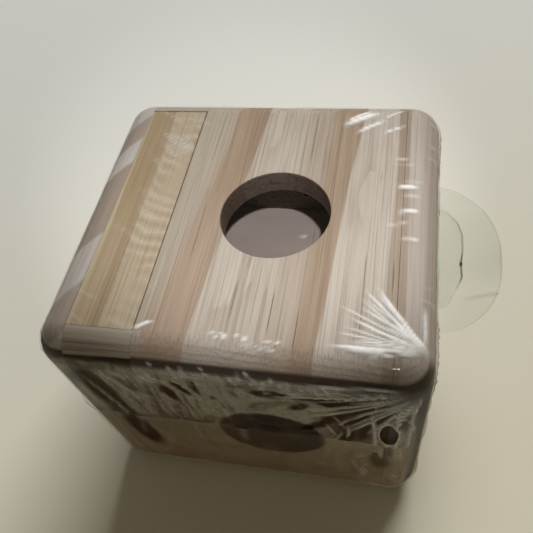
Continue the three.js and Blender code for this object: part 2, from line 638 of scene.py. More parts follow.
@dataclass(frozen=True)
class FilmFinish:
    """Clear shrink film: see-through, glossy at a low angle, with painted glints on its creases.

    The mesh carries four marks: crease, a fold's painted glint; veil_and_reflection, the painted
    reflection on the flat film, and the ear's own tint; shine, how strongly it mirrors; and melt, how
    brown the weld's dark lines and burnt bead are.
    """

    name: str
    gloss: float = 0.09
    head_on: float = 0.03  # how much it mirrors when looked at squarely
    shine: float = 0.6
    most: float = 0.30  # the most it mirrors, at the lowest angle
    # painted reflection of the table on the flat film; on the ear, its own tint
    veil_and_reflection_tone: Colour = (0.70, 0.67, 0.575)
    low_veil_and_reflection_tone: Colour = (0.80, 0.52, 0.265)  # the painted reflection's warmer tone on the lower half, where the film mirrors the warm table
    # painted glint colour of the creases
    white: Colour = (0.88, 0.88, 0.86)
    clear: Colour = (0.985, 0.99, 0.985)  # what passes through one layer
    burnt: Colour = (0.035, 0.025, 0.02)
    low_tone_band: Span = (72.0, 34.0)  # heights between which the low tone comes in
    corner_height: float = 96.5  # of the pulled corners that the rays spread from
    corner_shift: float = 0.5
    ray_reach: Span = (74.0, 36.0)  # distances from it between which the rays come in
    patches: float = 0.85  # how much of the painted reflection comes in patches and threads

    def _veil_and_reflection_share(self, bench: Bench, axes: Axes, fine: Signal, veil_and_reflection: Signal) -> Signal:
        """Works out how strongly the painted reflection lies on the flat film, broken up into patches
        and threads.

        Near a pulled corner the patches are drawn out into rays: noise over the angle from the
        corner, and over the distance from it stretched thirty times. Further off they hang down.

        Args:
            bench: The material.
            axes: X, Y and Z in millimetres.
            fine: Small clouds.
            veil_and_reflection: The mesh's mark for it.

        Returns:
            The share of the painted reflection's coat.
        """
        x, y, z = axes
        from_corner = (x + y + self.corner_shift).size()
        drop = self.corner_height - z
        turn = from_corner.turn_from(drop)
        far = (from_corner * from_corner + drop * drop).root()
        sway = (bench.noise(bench.spot(x, y, z), 0.07, 2.0) - 0.5) * 0.35
        rays = bench.noise(bench.spot(turn * 13.0 + sway * 9.0, far * 0.035, 0.0), 1.0, 4.0, 0.65)
        threads = bench.noise(bench.spot(turn * 46.0 + sway * 30.0, far * 0.05, 5.0), 1.0, 2.0)
        hang = bench.noise(bench.spot(x * 0.55, y * 0.55, z * 0.11), 1.0, 4.0, 0.65)
        wide = bench.noise(bench.spot(x * 0.11, y * 0.11, z * 0.075), 1.0, 2.0)
        near = far.rise(*self.ray_reach)
        streaky = rays * near + hang * (1.0 - near)
        patchy = (streaky * 0.6 + wide * 0.4).rise(0.40, 0.58)
        patchy = patchy * (fine.rise(0.3, 0.7) * 0.35 + 0.65)
        lines = threads.rise(0.60, 0.72) * near * veil_and_reflection.rise(0.0, 0.15)
        return veil_and_reflection * (patchy * self.patches + (1.0 - self.patches)) + lines * (0.24 * self.patches)

    def _skin(self, bench: Bench, fine: Signal, shine: Signal) -> Any:
        """Mixes see-through and gloss by how edge-on the film is seen, up to the most it mirrors.

        Args:
            bench: The material.
            fine: Small clouds, which ripple it.
            shine: The mesh's mark for how strongly it mirrors.

        Returns:
            The mixing node.
        """
        bump = bench.node(
            "ShaderNodeBump", None, {"Strength": 0.3, "Distance": 0.0001, "Height": fine}
        )
        turned = bench.node("ShaderNodeLayerWeight", None, {"Blend": 0.5, "Normal": bump.outputs[0]})
        rim = Signal(bench, turned.outputs["Facing"]) ** 5.0 * (1.0 - self.head_on) + self.head_on
        rim = rim.smallest(self.most)
        clear = bench.node("ShaderNodeBsdfTransparent", None, {"Color": self.clear})
        gloss = bench.node(
            "ShaderNodeBsdfAnisotropic",
            None,
            {"Color": (1.0, 1.0, 1.0), "Roughness": self.gloss, "Normal": bump.outputs[0]},
        )
        return bench.node(
            "ShaderNodeMixShader",
            None,
            {0: rim * self.shine * shine, 1: clear.outputs[0], 2: gloss.outputs[0]},
        )

    def material(self) -> bpy.types.Material:
        """Writes the finish: the skin, then one diffuse coat over another, each by its own share: the
        painted reflection, its lower tone, the creases' painted glints and the weld's brown.

        Returns:
            The material.
        """
        bench = Bench(self.name)
        crease, melt, veil_and_reflection, shine = (
            Signal(bench, bench.node("ShaderNodeAttribute", {"attribute_name": mark}).outputs["Fac"])
            for mark in ("crease", "melt", "veil_and_reflection", "shine")
        )
        axes = bench.place()
        fine = bench.noise(bench.spot(*axes), 0.55, 3.0)
        veil_and_reflection_share = self._veil_and_reflection_share(bench, axes, fine, veil_and_reflection)
        whole = self._skin(bench, fine, shine)
        cloudy = fine.rise(0.3, 0.7) * 0.25 + 0.75
        for share, tone in (
            (veil_and_reflection_share, self.veil_and_reflection_tone),
            (veil_and_reflection_share * axes[2].rise(*self.low_tone_band), self.low_veil_and_reflection_tone),
            (crease * cloudy, self.white),
            (melt, self.burnt),
        ):
            diffuse_coat = bench.node("ShaderNodeBsdfDiffuse", None, {"Color": tone})
            whole = bench.node(
                "ShaderNodeMixShader", None, {0: share, 1: whole.outputs[0], 2: diffuse_coat.outputs[0]}
            )
        return bench.finish(whole.outputs[0])


# ---------------------------------------------------------------------------------------------
# Meshes
# ---------------------------------------------------------------------------------------------


@dataclass
class Shell:
    """A surface on its way to becoming a mesh: corner points in millimetres and four-sided faces."""

    points: np.ndarray
    quads: np.ndarray
    marks: dict[str, np.ndarray] = field(default_factory=dict)

    def welded(self) -> "Shell":
        """Joins points that lie in one place, to a thousandth of a millimetre, and drops flat faces.

        Returns:
            The welded surface.
        """
        keys = np.round(self.points * 1000.0).astype(np.int64)
        _, first, back = np.unique(keys, axis=0, return_index=True, return_inverse=True)
        quads = back.reshape(-1)[self.quads]
        good = np.array([len(set(row)) for row in quads.tolist()]) == 4
        return Shell(self.points[first], quads[good])

    def joined(self, other: "Shell") -> "Shell":
        """Puts another surface beside this one."""
        quads = np.vstack([self.quads, other.quads + len(self.points)])
        return Shell(np.vstack([self.points, other.points]), quads)

    def build(self, name: str, material: bpy.types.Material, sharp: float = 38.0) -> Any:
        """Makes the Blender object, in metres, at the origin.

        Args:
            name: The piece's name.
            material: Its finish.
            sharp: Edges that turn more than this many degrees stay sharp.

        Returns:
            The object.
        """
        mesh = bpy.data.meshes.new(name)
        mesh.from_pydata(self.points * MM, [], self.quads)
        mesh.shade_smooth()
        mesh.set_sharp_from_angle(angle=math.radians(sharp))
        for mark, values in self.marks.items():
            layer = mesh.attributes.new(mark, "FLOAT", "POINT")
            layer.data.foreach_set("value", values.astype(np.float32))
        mesh.materials.append(material)
        mesh.update()
        piece = bpy.data.objects.new(name, mesh)
        bpy.context.scene.collection.objects.link(piece)
        return piece


def lattice_shell(
    lines: Sequence[np.ndarray],
    filled: np.ndarray,
    skip: Callable[[np.ndarray, int, int], np.ndarray] | None = None,
) -> Shell:
    """Wraps the filled cells of a lattice in four-sided faces that point outwards.

    A face stands wherever a filled cell meets an empty one; its corners follow the two other axes
    in turning order, and the order is reversed on the low side.

    Args:
        lines: The lattice lines along X, Y and Z.
        filled: Which cells are solid, one fewer than the lines each way.
        skip: Given face centres, axis and sign, says which faces to leave out.

    Returns:
        The surface.
    """
    counts = [len(line) for line in lines]
    padded = np.pad(filled, 1)
    grid = np.stack(np.meshgrid(*lines, indexing="ij"), axis=-1).reshape(-1, 3)
    strides = np.array([counts[1] * counts[2], counts[2], 1])
    found = []
    for axis in range(3):
        second, third = (axis + 1) % 3, (axis + 2) % 3
        trimmed = [slice(1, -1)] * 3
        below, above = list(trimmed), list(trimmed)
        below[axis], above[axis] = slice(0, -1), slice(1, None)
        low, high = padded[tuple(below)], padded[tuple(above)]
        for sign, mask in ((1, low & ~high), (-1, ~low & high)):
            cells = np.argwhere(mask)
            start = cells @ strides
            a, b = strides[second], strides[third]
            quads = np.stack([start, start + a, start + a + b, start + b], axis=1)
            if sign < 0:
                quads = quads[:, ::-1]
            if skip is not None and len(quads):
                quads = quads[~skip(grid[quads].mean(axis=1), axis, sign)]
            found.append(quads)
    quads = np.vstack(found)
    used, back = np.unique(quads, return_inverse=True)
    return Shell(grid[used], back.reshape(quads.shape))


@dataclass(frozen=True)
class CaseForm:
    """The glued-up case's outer form: a block whose edges are all rounded over by one radius."""

    low: np.ndarray
    high: np.ndarray
    radius: float = 10.0
    steps: int = 9

    def pull(self, points: np.ndarray) -> np.ndarray:
        """Moves points that stand outside the form onto it.

        A point's nearest spot on the inner block, which is the form less its radius, is found by
        clamping; a point further than the radius from it is drawn back to the radius.

        Args:
            points: The points.

        Returns:
            The moved points.
        """
        core = np.clip(points, self.low + self.radius, self.high - self.radius)
        out = points - core
        far = np.linalg.norm(out, axis=1, keepdims=True)
        scale = np.where(far > self.radius, self.radius / np.maximum(far, 1e-9), 1.0)
        return core + out * scale

    def outward(self, points: np.ndarray) -> np.ndarray:
        """The direction straight out of the form at each point on it.

        Args:
            points: Points on the form.

        Returns:
            Unit vectors.
        """
        core = np.clip(points, self.low + self.radius, self.high - self.radius)
        out = points - core
        return out / np.maximum(np.linalg.norm(out, axis=1, keepdims=True), 1e-9)

    def lines(self, axis: int) -> np.ndarray:
        """Lattice lines that cut the round-over at even angles: the radius times the angle's tangent.

        Args:
            axis: 0, 1 or 2.

        Returns:
            The lines on both sides of that axis.
        """
        reach = self.radius * np.tan(np.linspace(0.0, math.pi / 4.0, self.steps + 1))
        low = self.low[axis] + self.radius - reach
        high = self.high[axis] - self.radius + reach
        return np.concatenate([low, high])


@dataclass
class Board:
    """A planed board: one or two blocks with slightly softened edges, trimmed by the case's form."""

    name: str
    node: str
    slot: str
    finish: PineFinish
    form: CaseForm
    blocks: tuple[tuple[np.ndarray, np.ndarray], ...]
    arris: float = 0.045
    pitch: float = 2.4
    opening: tuple[float, float, float] | None = None  # centre on the two face axes, radius
    thin_axis: int = 2  # the opening runs along this axis
    rim: float = 0.45
    collar: float = 3.2

    def _lines(self, axis: int) -> np.ndarray:
        """Lattice lines along one axis: even, close to every edge, and on the round-over's angles.

        Args:
            axis: 0, 1 or 2.

        Returns:
            The sorted lines, none closer than a fiftieth of a millimetre.
        """
        ends = np.array([[low[axis], high[axis]] for low, high in self.blocks])
        low, high = ends.min(), ends.max()
        steps = max(2, int((high - low) / self.pitch))
        soft = np.array([0.0, 0.35, 1.0, 2.6]) * self.arris
        keep = [low + soft, high - soft, self.form.lines(axis)]
        keep += [end + side * soft for end in ends.ravel() for side in (-1.0, 1.0)]
        exact = list(ends.ravel())
        if self.opening is not None and axis != self.thin_axis:
            middle = self.opening[0 if axis == (self.thin_axis + 1) % 3 else 1]
            half = self.opening[2] + self.collar
            keep.append(np.linspace(middle - half, middle + half, 41))
            exact += [middle - half, middle + half]
            even = np.linspace(low, high, steps + 1)
            keep.append(even[np.abs(even - middle) > half])
        else:
            keep.append(np.linspace(low, high, steps + 1))
        merged = np.sort(np.concatenate(keep))
        merged = merged[(merged >= low) & (merged <= high)]
        close = np.abs(merged[:, None] - np.array(exact)[None, :]).min(axis=1)
        loose = merged[close > 0.015]
        lines = np.unique(np.round(np.concatenate([loose, exact]), 6))
        gaps = np.diff(lines) < 0.012
        fixed = np.isin(lines, np.round(exact, 6))
        drop = np.concatenate([gaps, [False]]) & ~fixed
        return lines[~drop]

    def _softened(self, points: np.ndarray) -> np.ndarray:
        """Rounds the blocks' own edges: each point keeps one arris from the nearest shrunk block.

        Args:
            points: Points on the blocks' surface.

        Returns:
            The moved points.
        """
        best, nearest = None, None
        for low, high in self.blocks:
            core = np.clip(points, low + self.arris, high - self.arris)
            far = np.linalg.norm(points - core, axis=1)
            if best is None:
                best, nearest = far, core
            else:
                closer = far < best
                best = np.where(closer, far, best)
                nearest = np.where(closer[:, None], core, nearest)
        scale = np.where(best > self.arris, self.arris / np.maximum(best, 1e-9), 1.0)
        return nearest + (points - nearest) * scale[:, None]

    def _collar(self, lines: Sequence[np.ndarray]) -> Shell:
        """Makes the round opening: a square loop drawn in to a circle, over a rim and down the wall.

        Rows are the steps of one profile: the outer face from square to circle, a quarter-round
        rim, the wall, the other rim, and the inner face from circle back to square.

        Args:
            lines: The board's lattice lines.

        Returns:
            The surface of the collar.
        """
        u_axis, v_axis, w_axis = (self.thin_axis + 1) % 3, (self.thin_axis + 2) % 3, self.thin_axis
        cu, cv, radius = self.opening
        half = radius + self.collar
        us = lines[u_axis][np.abs(lines[u_axis] - cu) <= half + 1e-5]
        vs = lines[v_axis][np.abs(lines[v_axis] - cv) <= half + 1e-5]
        flat_u, flat_v = np.ones(len(us) - 1), np.ones(len(vs) - 1)
        loop_u = np.concatenate([us[:-1], flat_v * us[-1], us[:0:-1], flat_v * us[0]])
        loop_v = np.concatenate([flat_u * vs[0], vs[:-1], flat_u * vs[-1], vs[:0:-1]])
        angle = np.arctan2(loop_v - cv, loop_u - cu)
        low, high = self.blocks[0][0][w_axis], self.blocks[0][1][w_axis]
        turn = np.linspace(0.0, math.pi / 2.0, 6)
        share = np.linspace(0.0, 1.0, 9)
        wall = np.linspace(high - self.rim, low + self.rim, 14)[1:-1]
        spread = np.concatenate([1.0 - share, np.zeros(10 + len(wall)), share])
        out = np.concatenate(
            [np.full(9, self.rim), self.rim * (1.0 - np.sin(turn[1:])), np.zeros(len(wall)),
             self.rim * (1.0 - np.cos(turn[:-1])), np.full(9, self.rim)]
        )
        level = np.concatenate(
            [np.full(9, high), high - self.rim * (1.0 - np.cos(turn[1:])), wall,
             low + self.rim * (1.0 - np.sin(turn[:-1])), np.full(9, low)]
        )
        ring_u = cu + (radius + out)[:, None] * np.cos(angle)[None, :]
        ring_v = cv + (radius + out)[:, None] * np.sin(angle)[None, :]
        u = ring_u + spread[:, None] * (loop_u[None, :] - ring_u)
        v = ring_v + spread[:, None] * (loop_v[None, :] - ring_v)
        points = np.zeros((*u.shape, 3))
        points[..., u_axis] = u
        points[..., v_axis] = v
        points[..., w_axis] = level[:, None]
        rows, columns = u.shape
        index = np.arange(rows * columns).reshape(rows, columns)
        after = np.roll(index, -1, axis=1)
        quads = np.stack([index[:-1], after[:-1], after[1:], index[1:]], axis=-1).reshape(-1, 4)
        return Shell(points.reshape(-1, 3), quads)

    def shell(self) -> Shell:
        """Works out the board's closed surface.

        Returns:
            The surface, trimmed to the case's form.
        """
        lines = [self._lines(axis) for axis in range(3)]
        middles = [0.5 * (line[1:] + line[:-1]) for line in lines]
        centres = np.stack(np.meshgrid(*middles, indexing="ij"), axis=-1)
        filled = np.zeros(centres.shape[:3], dtype=bool)
        for low, high in self.blocks:
            filled |= np.all((centres > low) & (centres < high), axis=-1)
        skip = None
        if self.opening is not None:
            u_axis, v_axis = (self.thin_axis + 1) % 3, (self.thin_axis + 2) % 3
            cu, cv, radius = self.opening
            half = radius + self.collar

            def inside(spots: np.ndarray) -> np.ndarray:
                """Says which spots are within the collar's square.

                Args:
                    spots: Points, with X, Y and Z last.

                Returns:
                    True for each spot inside.
                """
                near_u = np.abs(spots[..., u_axis] - cu) < half + 1e-4
                return near_u & (np.abs(spots[..., v_axis] - cv) < half + 1e-4)

            def skip(spots: np.ndarray, axis: int, sign: int) -> np.ndarray:
                """Leaves out the square's own walls, which the collar stands in for."""
                return inside(spots) & (axis != self.thin_axis)

            filled &= ~inside(centres)
        shell = lattice_shell(lines, filled, skip)
        if self.opening is not None:
            shell = shell.joined(self._collar(lines)).welded()
        shell.points = self.form.pull(self._softened(shell.points))
        return shell

    def make(self) -> Any:
        """Builds and dresses the board, and sets it in its node's place.

        Returns:
            The object.
        """
        piece = self.shell().build(self.name, self.finish.material())
        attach(piece, "root")
        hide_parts(self.node)
        return piece


# ---------------------------------------------------------------------------------------------
# Shrink film
# ---------------------------------------------------------------------------------------------


class Side(Enum):
    """A side of the case: its axis, which way it faces, and the two axes that lie along it."""

    TOP = (2, 1, 0, 1)
    BOTTOM = (2, -1, 0, 1)
    FRONT = (1, -1, 0, 2)
    BACK = (1, 1, 0, 2)
    LEFT = (0, -1, 1, 2)
    RIGHT = (0, 1, 1, 2)

    def share(self, outward: np.ndarray) -> np.ndarray:
        """How far each point belongs to this side: 1 where it faces that way, fading round a corner.

        Args:
            outward: The direction out of the form at each point.

        Returns:
            The shares.
        """
        axis, sign = self.value[:2]
        return ease(0.25, 0.6, outward[:, axis] * sign)

    def middle(self, outward: np.ndarray) -> np.ndarray:
        """Finds the flat of this side: 1 on it, and gone a third of the way round its upright corners.

        Args:
            outward: The direction out of the form at each point.

        Returns:
            The mask.
        """
        axis, sign = self.value[:2]
        if axis == 2:
            return ease(0.80, 0.985, outward[:, axis] * sign)
        level = np.hypot(outward[:, 0], outward[:, 1])
        facing = outward[:, axis] * sign / np.maximum(level, 1e-6)
        return ease(0.70, 0.985, facing) * ease(0.90, 0.95, level)

    def flat(self, points: np.ndarray) -> np.ndarray:
        """The points' two coordinates along this side."""
        return points[:, list(self.value[2:])]


@dataclass(frozen=True)
class Wrinkle:
    """A raised crease along a line on one side of the case, in millimetres.

    height is how far it stands out, diffuse_coat how strongly its painted glint is laid on, bow how far
    its middle is pushed sideways, and taper the share of its length over which each end fades.
    """

    side: Side
    start: Span
    end: Span
    width: float = 0.5
    height: float = 0.25
    diffuse_coat: float = 0.5
    bow: float = 0.0
    taper: float = 0.25

    def profile(self, flat: np.ndarray) -> np.ndarray:
        """Works out the crease: a bell curve across its bowed line, faded at both ends.

        Args:
            flat: The points' coordinates along the side.

        Returns:
            0 away from the crease and 1 on its crest.
        """
        first, last = np.array(self.start), np.array(self.end)
        run = last - first
        length = float(np.hypot(*run))
        along = (flat - first) @ run / length**2
        aside = (flat - first) @ np.array([-run[1], run[0]]) / length
        aside = aside - self.bow * 4.0 * along * (1.0 - along)
        ends = ease(0.0, self.taper, along) * ease(1.0, 1.0 - self.taper, along)
        return bell(aside, self.width) * ends


@dataclass(frozen=True)
class Leaf:
    """An oval patch of one side where the film lies tight: the painted reflection is taken out, and it
    hardly shines.
    """

    side: Side
    centre: Span
    half: Span
    lean: float = 0.0  # degrees that its long axis leans from upright
    strength: float = 1.0
    soft: float = 0.3

    def profile(self, flat: np.ndarray) -> np.ndarray:
        """Works out the patch: 1 inside the leaning oval, fading over its soft rim.

        Args:
            flat: The points' coordinates along the side.

        Returns:
            The mask.
        """
        turn = math.radians(self.lean)
        off = flat - np.array(self.centre)
        p = off[:, 0] * math.cos(turn) + off[:, 1] * math.sin(turn)
        q = off[:, 1] * math.cos(turn) - off[:, 0] * math.sin(turn)
        reach = np.hypot(p / self.half[0], q / self.half[1])
        return ease(1.0 + self.soft, 1.0 - self.soft, reach)


def cloud(flat: np.ndarray, pitch: Span, seed: int) -> np.ndarray:
    """Smooth noise from 0 to 1: random values on a grid of that pitch, eased between grid points.

    Args:
        flat: The points' two coordinates.
        pitch: The grid's spacing each way, in millimetres.
        seed: Which random values.

    Returns:
        The noise at each point.
    """
    values = np.random.default_rng(seed).random((64, 64))
    spot = flat / np.array(pitch) + 31.7
    whole = np.floor(spot).astype(int)
    part = spot - whole
    part = part * part * (3.0 - 2.0 * part)
    i, j = whole[:, 0] % 64, whole[:, 1] % 64
    i2, j2 = (i + 1) % 64, (j + 1) % 64
    low = values[i, j] * (1.0 - part[:, 0]) + values[i2, j] * part[:, 0]
    high = values[i, j2] * (1.0 - part[:, 0]) + values[i2, j2] * part[:, 0]
    return low * (1.0 - part[:, 1]) + high * part[:, 1]


def fan(
    side: Side,
    apex: Span,
    angles: Span,
    lengths: Span,
    count: int,
    seed: int,
    diffuse_coat: float = 0.5,
    height: float = 0.3,
    width: float = 0.45,
    gap: float = 1.5,
) -> list[Wrinkle]:
    """Spreads creases out from a pulled corner, at even angles with a little seeded scatter.

    Args:
        side: The side that they lie on.
        apex: The corner that they meet at.
        angles: The first and last directions, in degrees.
        lengths: The shortest and longest crease.
        count: How many.
        seed: Which random scatter.
        diffuse_coat: How strongly their painted glint is laid on.
        height: How far they stand out.
        width: How wide they are.
        gap: How far from the corner they start.

    Returns:
        The creases.
    """
    rng = np.random.default_rng(seed)
    turns = np.radians(np.linspace(*angles, count) + rng.normal(0.0, 1.8, count))
    reach = rng.uniform(*lengths, count)
    strength = rng.uniform(0.45, 1.0, count)
    made = []
    for turn, far, strong in zip(turns, reach, strength):
        way = (math.cos(turn), math.sin(turn))
        start = (apex[0] + gap * way[0], apex[1] + gap * way[1])
        end = (apex[0] + far * way[0], apex[1] + far * way[1])
        bow = float(rng.normal(0.0, 0.35))
        broad = width * rng.uniform(0.7, 1.3)
        made.append(Wrinkle(side, start, end, broad, height * strong, diffuse_coat * strong, bow, 0.3))
    return made


def scatter(
    side: Side,
    low: Span,
    high: Span,
    lengths: Span,
    angles: Span,
    count: int,
    seed: int,
    diffuse_coat: float = 0.3,
    height: float = 0.18,
    width: float = 0.45,
    bow: float = 0.6,
) -> list[Wrinkle]:
    """Scatters short creases over a patch of one side, with seeded places, lengths and directions.

    Args:
        side: The side that they lie on.
        low: The patch's lowest corner.
        high: Its highest corner.
        lengths: The shortest and longest crease.
        angles: The range of directions, in degrees.
        count: How many.
        seed: Which random scatter.
        diffuse_coat: How strongly their painted glint is laid on.
        height: How far they stand out.
        width: How wide they are.
        bow: How far they curl.

    Returns:
        The creases.
    """
    rng = np.random.default_rng(seed)
    made = []
    for _ in range(count):
        middle = rng.uniform(low, high)
        turn = math.radians(rng.uniform(*angles))
        half = 0.5 * rng.uniform(*lengths) * np.array([math.cos(turn), math.sin(turn)])
        strong = rng.uniform(0.4, 1.0)
        made.append(
            Wrinkle(
                side,
                tuple(middle - half),
                tuple(middle + half),
                width * rng.uniform(0.7, 1.4),
                height * strong,
                diffuse_coat * strong,
                float(rng.normal(0.0, bow)),
                0.35,
            )
        )
    return made


def film_piece(
    shell: Shell, name: str, node: str, finish: FilmFinish, thickness: float, offset: float
) -> Any:
    """Makes a piece of film from its surface, gives it its thickness and sets it in its node's place.

    Args:
        shell: The surface, with its marks.
        name: The piece's name.
        node: The node that it stands in for.
        finish: Its finish.
        thickness: How thick it is, in millimetres.
        offset: -1 to thicken inwards, 0 to thicken both ways.

    Returns:
        The object.
    """
    piece = shell.build(name, finish.material(), 180.0)
    solid = piece.modifiers.new("film_thickness", "SOLIDIFY")
    solid.thickness = thickness * MM
    solid.offset = offset
    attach(piece, "root")
    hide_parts(node)
    return piece


@dataclass
class FilmSheet:
    """One of the two sheets: a rounded tray of film over the case, open at the weld."""

    name: str
    node: str
    finish: FilmFinish
    form: CaseForm
    weld_side: int  # -1 where the weld is its lower rim, 1 where it is its upper rim
    weld: float
    pitches: tuple[Callable[[float], float], Callable[[float], float], Callable[[float], float]]
    wrinkles: list[Wrinkle] = field(default_factory=list)
    leaves: list[Leaf] = field(default_factory=list)
    # strength of the painted reflection on each side
    reflection_veils: dict[Side, float] = field(default_factory=dict)
    upright_shine: float = 1.0
    vent: tuple[Span, Span] | None = None  # centre and half sizes, on the front
    thickness: float = 0.05
    upright_lift: float = 0.55  # how far slow noise lifts the film off the four sides
    level_lift: float = 0.07  # and off the top and bottom
    rim_height: float = 0.7  # how far the weld's rim turns outwards
    rim_width: float = 0.7
    # painted glint along the weld's rim
    rim_coat: float = 0.06
    lip_height: float = 0.35  # of the vent's lip
    lip_width: float = 0.5
    # painted glint on the vent's lip
    lip_coat: float = 0.6
    weld_line_width: float = 0.5
    weld_line_strength: float = 0.6
    weld_wave: float = 4.0  # how far above and below the weld its gentle wave reaches

    def _lines(self, axis: int) -> np.ndarray:
        """Lattice lines along one axis, spaced by that axis's pitch and cut off at the weld.

        Args:
            axis: 0, 1 or 2.

        Returns:
            The sorted lines.
        """
        low, high = self.form.low[axis], self.form.high[axis]
        open_below = axis == 2 and self.weld_side < 0
        open_above = axis == 2 and self.weld_side > 0
        low = self.weld if open_below else low
        high = self.weld if open_above else high
        steps = [low]
        while steps[-1] < high:
            steps.append(steps[-1] + self.pitches[axis](steps[-1]))
        even = np.array(steps[:-1] if high - steps[-2] > 0.3 else steps[:-2])
        edges = self.form.lines(axis)
        edges = edges[(edges > low) & (edges < high)]
        if not open_above:
            even = even[even < self.form.high[axis] - self.form.radius - 0.4]
        if not open_below:
            even = even[even > self.form.low[axis] + self.form.radius + 0.4]
        if open_below:
            even = even[even < edges.min() - 0.3]
        return np.unique(np.round(np.concatenate([[low], even, edges, [high]]), 6))

    def _cut_vent(self, shell: Shell) -> Shell:
        """Opens the vent: drops the faces inside an oval and moves the cut edge's points onto it.

        Args:
            shell: The sheet before it is rounded.

        Returns:
            The sheet with the vent in it.
        """
        (cx, cz), (hx, hz) = self.vent
        x, y, z = shell.points.T
        reach = np.hypot((x - cx) / hx, (z - cz) / hz)
        front = y < self.form.low[1] + 1e-6
        inside = front & (reach < 1.0)
        shell.quads = shell.quads[~inside[shell.quads].all(axis=1)]
        edge = inside & np.isin(np.arange(len(x)), shell.quads)
        scale = np.where(edge, 1.0 / np.maximum(reach, 1e-6), 1.0)
        shell.points = np.stack([cx + (x - cx) * scale, y, cz + (z - cz) * scale], axis=1)
        used, back = np.unique(shell.quads, return_inverse=True)
        return Shell(shell.points[used], back.reshape(shell.quads.shape))

    def _loose(
        self, points: np.ndarray, outward: np.ndarray
    ) -> tuple[np.ndarray, np.ndarray, np.ndarray]:
        """Works out how the film lies between its creases, side by side.

        Slow noise lets it lift a little off the boards, the sides get their painted reflection, stronger
        higher up, and leaves take the painted reflection out and dull the shine.

        Args:
            points: Points on the rounded tray.
            outward: The direction out of the tray at each.

        Returns:
            The height in millimetres, the painted reflection's share and the shine.
        """
        height, veil_and_reflection, shine = np.zeros(len(points)), np.zeros(len(points)), np.ones(len(points))
        for side in Side:
            share = side.share(outward)
            flat = side.flat(points)
            upright = side not in (Side.TOP, Side.BOTTOM)
            slow = cloud(flat, (11.0, 19.0 if upright else 13.0), 5)
            fine = cloud(flat, (3.1, 6.5 if upright else 4.2), 9)
            lift = self.upright_lift if upright else self.level_lift
            height += share * lift * (slow * 0.7 + fine * 0.3 * (1.0 if upright else 0.35))
            # painted reflection: stronger higher up
            fade = 0.42 + 0.58 * ease(44.0, 68.0, points[:, 2] + 0.12 * points[:, 0])
            veil_and_reflection += side.middle(outward) * self.reflection_veils.get(side, 0.0) * fade
            if upright:
                shine *= 1.0 - share * (1.0 - self.upright_shine)
        for leaf in self.leaves:
            part = leaf.profile(leaf.side.flat(points)) * leaf.side.share(outward) * leaf.strength
            veil_and_reflection *= 1.0 - part
            shine *= 1.0 - 0.9 * part
        return height, veil_and_reflection, shine

    def _dark_weld_line(self, points: np.ndarray, outward: np.ndarray) -> np.ndarray:
        """Works out a thin broken dark line along the weld on the front, between two ends.

        Args:
            points: Points on the rounded tray.
            outward: The direction out of the tray at each.

        Returns:
            The mask.
        """
        weld_line = bell(points[:, 2] - self.weld, self.weld_line_width) * Side.FRONT.middle(outward)
        weld_line *= ease(30.0, 18.0, points[:, 0]) * ease(-43.0, -36.0, points[:, 0])
        return weld_line * ease(0.25, 0.7, cloud(points[:, :2], (5.0, 5.0), 77))

    def _relief(
        self, points: np.ndarray, outward: np.ndarray
    ) -> tuple[np.ndarray, dict[str, np.ndarray]]:
        """Adds up how far the film stands out and its marks at each point.

        Creases add their bell curves, the rim at the weld turns outwards over its last two
        millimetres, and the vent has a raised lip.

        Args:
            points: Points on the rounded tray.
            outward: The direction out of the tray at each.

        Returns:
            The height in millimetres, and the finish's marks from 0 to 1.
        """
        height, veil_and_reflection, shine = self._loose(points, outward)
        crease = np.zeros(len(points))
        for wrinkle in self.wrinkles:
            part = wrinkle.profile(wrinkle.side.flat(points)) * wrinkle.side.share(outward)
            height += wrinkle.height * part
            crease = np.maximum(crease, wrinkle.diffuse_coat * part)
        around = np.arctan2(points[:, 1], points[:, 0])
        uneven = 0.75 + 0.25 * np.sin(around * 37.0) * np.sin(around * 11.0 + 1.0)
        rim = bell(points[:, 2] - self.weld, self.rim_width) * uneven
        height += self.rim_height * rim
        crease = np.maximum(crease, self.rim_coat * rim)
        if self.vent is not None:
            (cx, cz), (hx, hz) = self.vent
            reach = np.hypot((points[:, 0] - cx) / hx, (points[:, 2] - cz) / hz)
            lip = bell((reach - 1.0) * hx, self.lip_width) * Side.FRONT.share(outward)
            height += self.lip_height * lip
            crease = np.maximum(crease, self.lip_coat * lip)
        melt = self.weld_line_strength * self._dark_weld_line(points, outward)
        marks = {"crease": crease, "veil_and_reflection": veil_and_reflection, "shine": shine, "melt": melt}
        return height, {mark: np.clip(values, 0.0, 1.0) for mark, values in marks.items()}

    def make(self) -> Any:
        """Builds the sheet: an open tray on the rounded form, then lifted off it by its relief.

        Returns:
            The object.
        """
        lines = [self._lines(axis) for axis in range(3)]
        filled = np.ones([len(line) - 1 for line in lines], dtype=bool)

        def open_rim(spots: np.ndarray, axis: int, sign: int) -> np.ndarray:
            """Leaves out the side at the weld."""
            return np.full(len(spots), axis == 2 and sign == self.weld_side)

        shell = lattice_shell(lines, filled, open_rim)
        if self.vent is not None:
            shell = self._cut_vent(shell)
        points = self.form.pull(shell.points)
        outward = self.form.outward(points)
        height, marks = self._relief(points, outward)
        x, y, z = points.T
        wave = 0.5 * np.sin(0.13 * x + 0.05 * y) + 0.25 * np.sin(0.37 * x - 0.29 * y + 1.0)
        points[:, 2] += wave * bell(z - self.weld, self.weld_wave)
        shell = Shell(points + outward * height[:, None], shell.quads)
        shell.marks = marks
        return film_piece(shell, self.name, self.node, self.finish, self.thickness, -1.0)


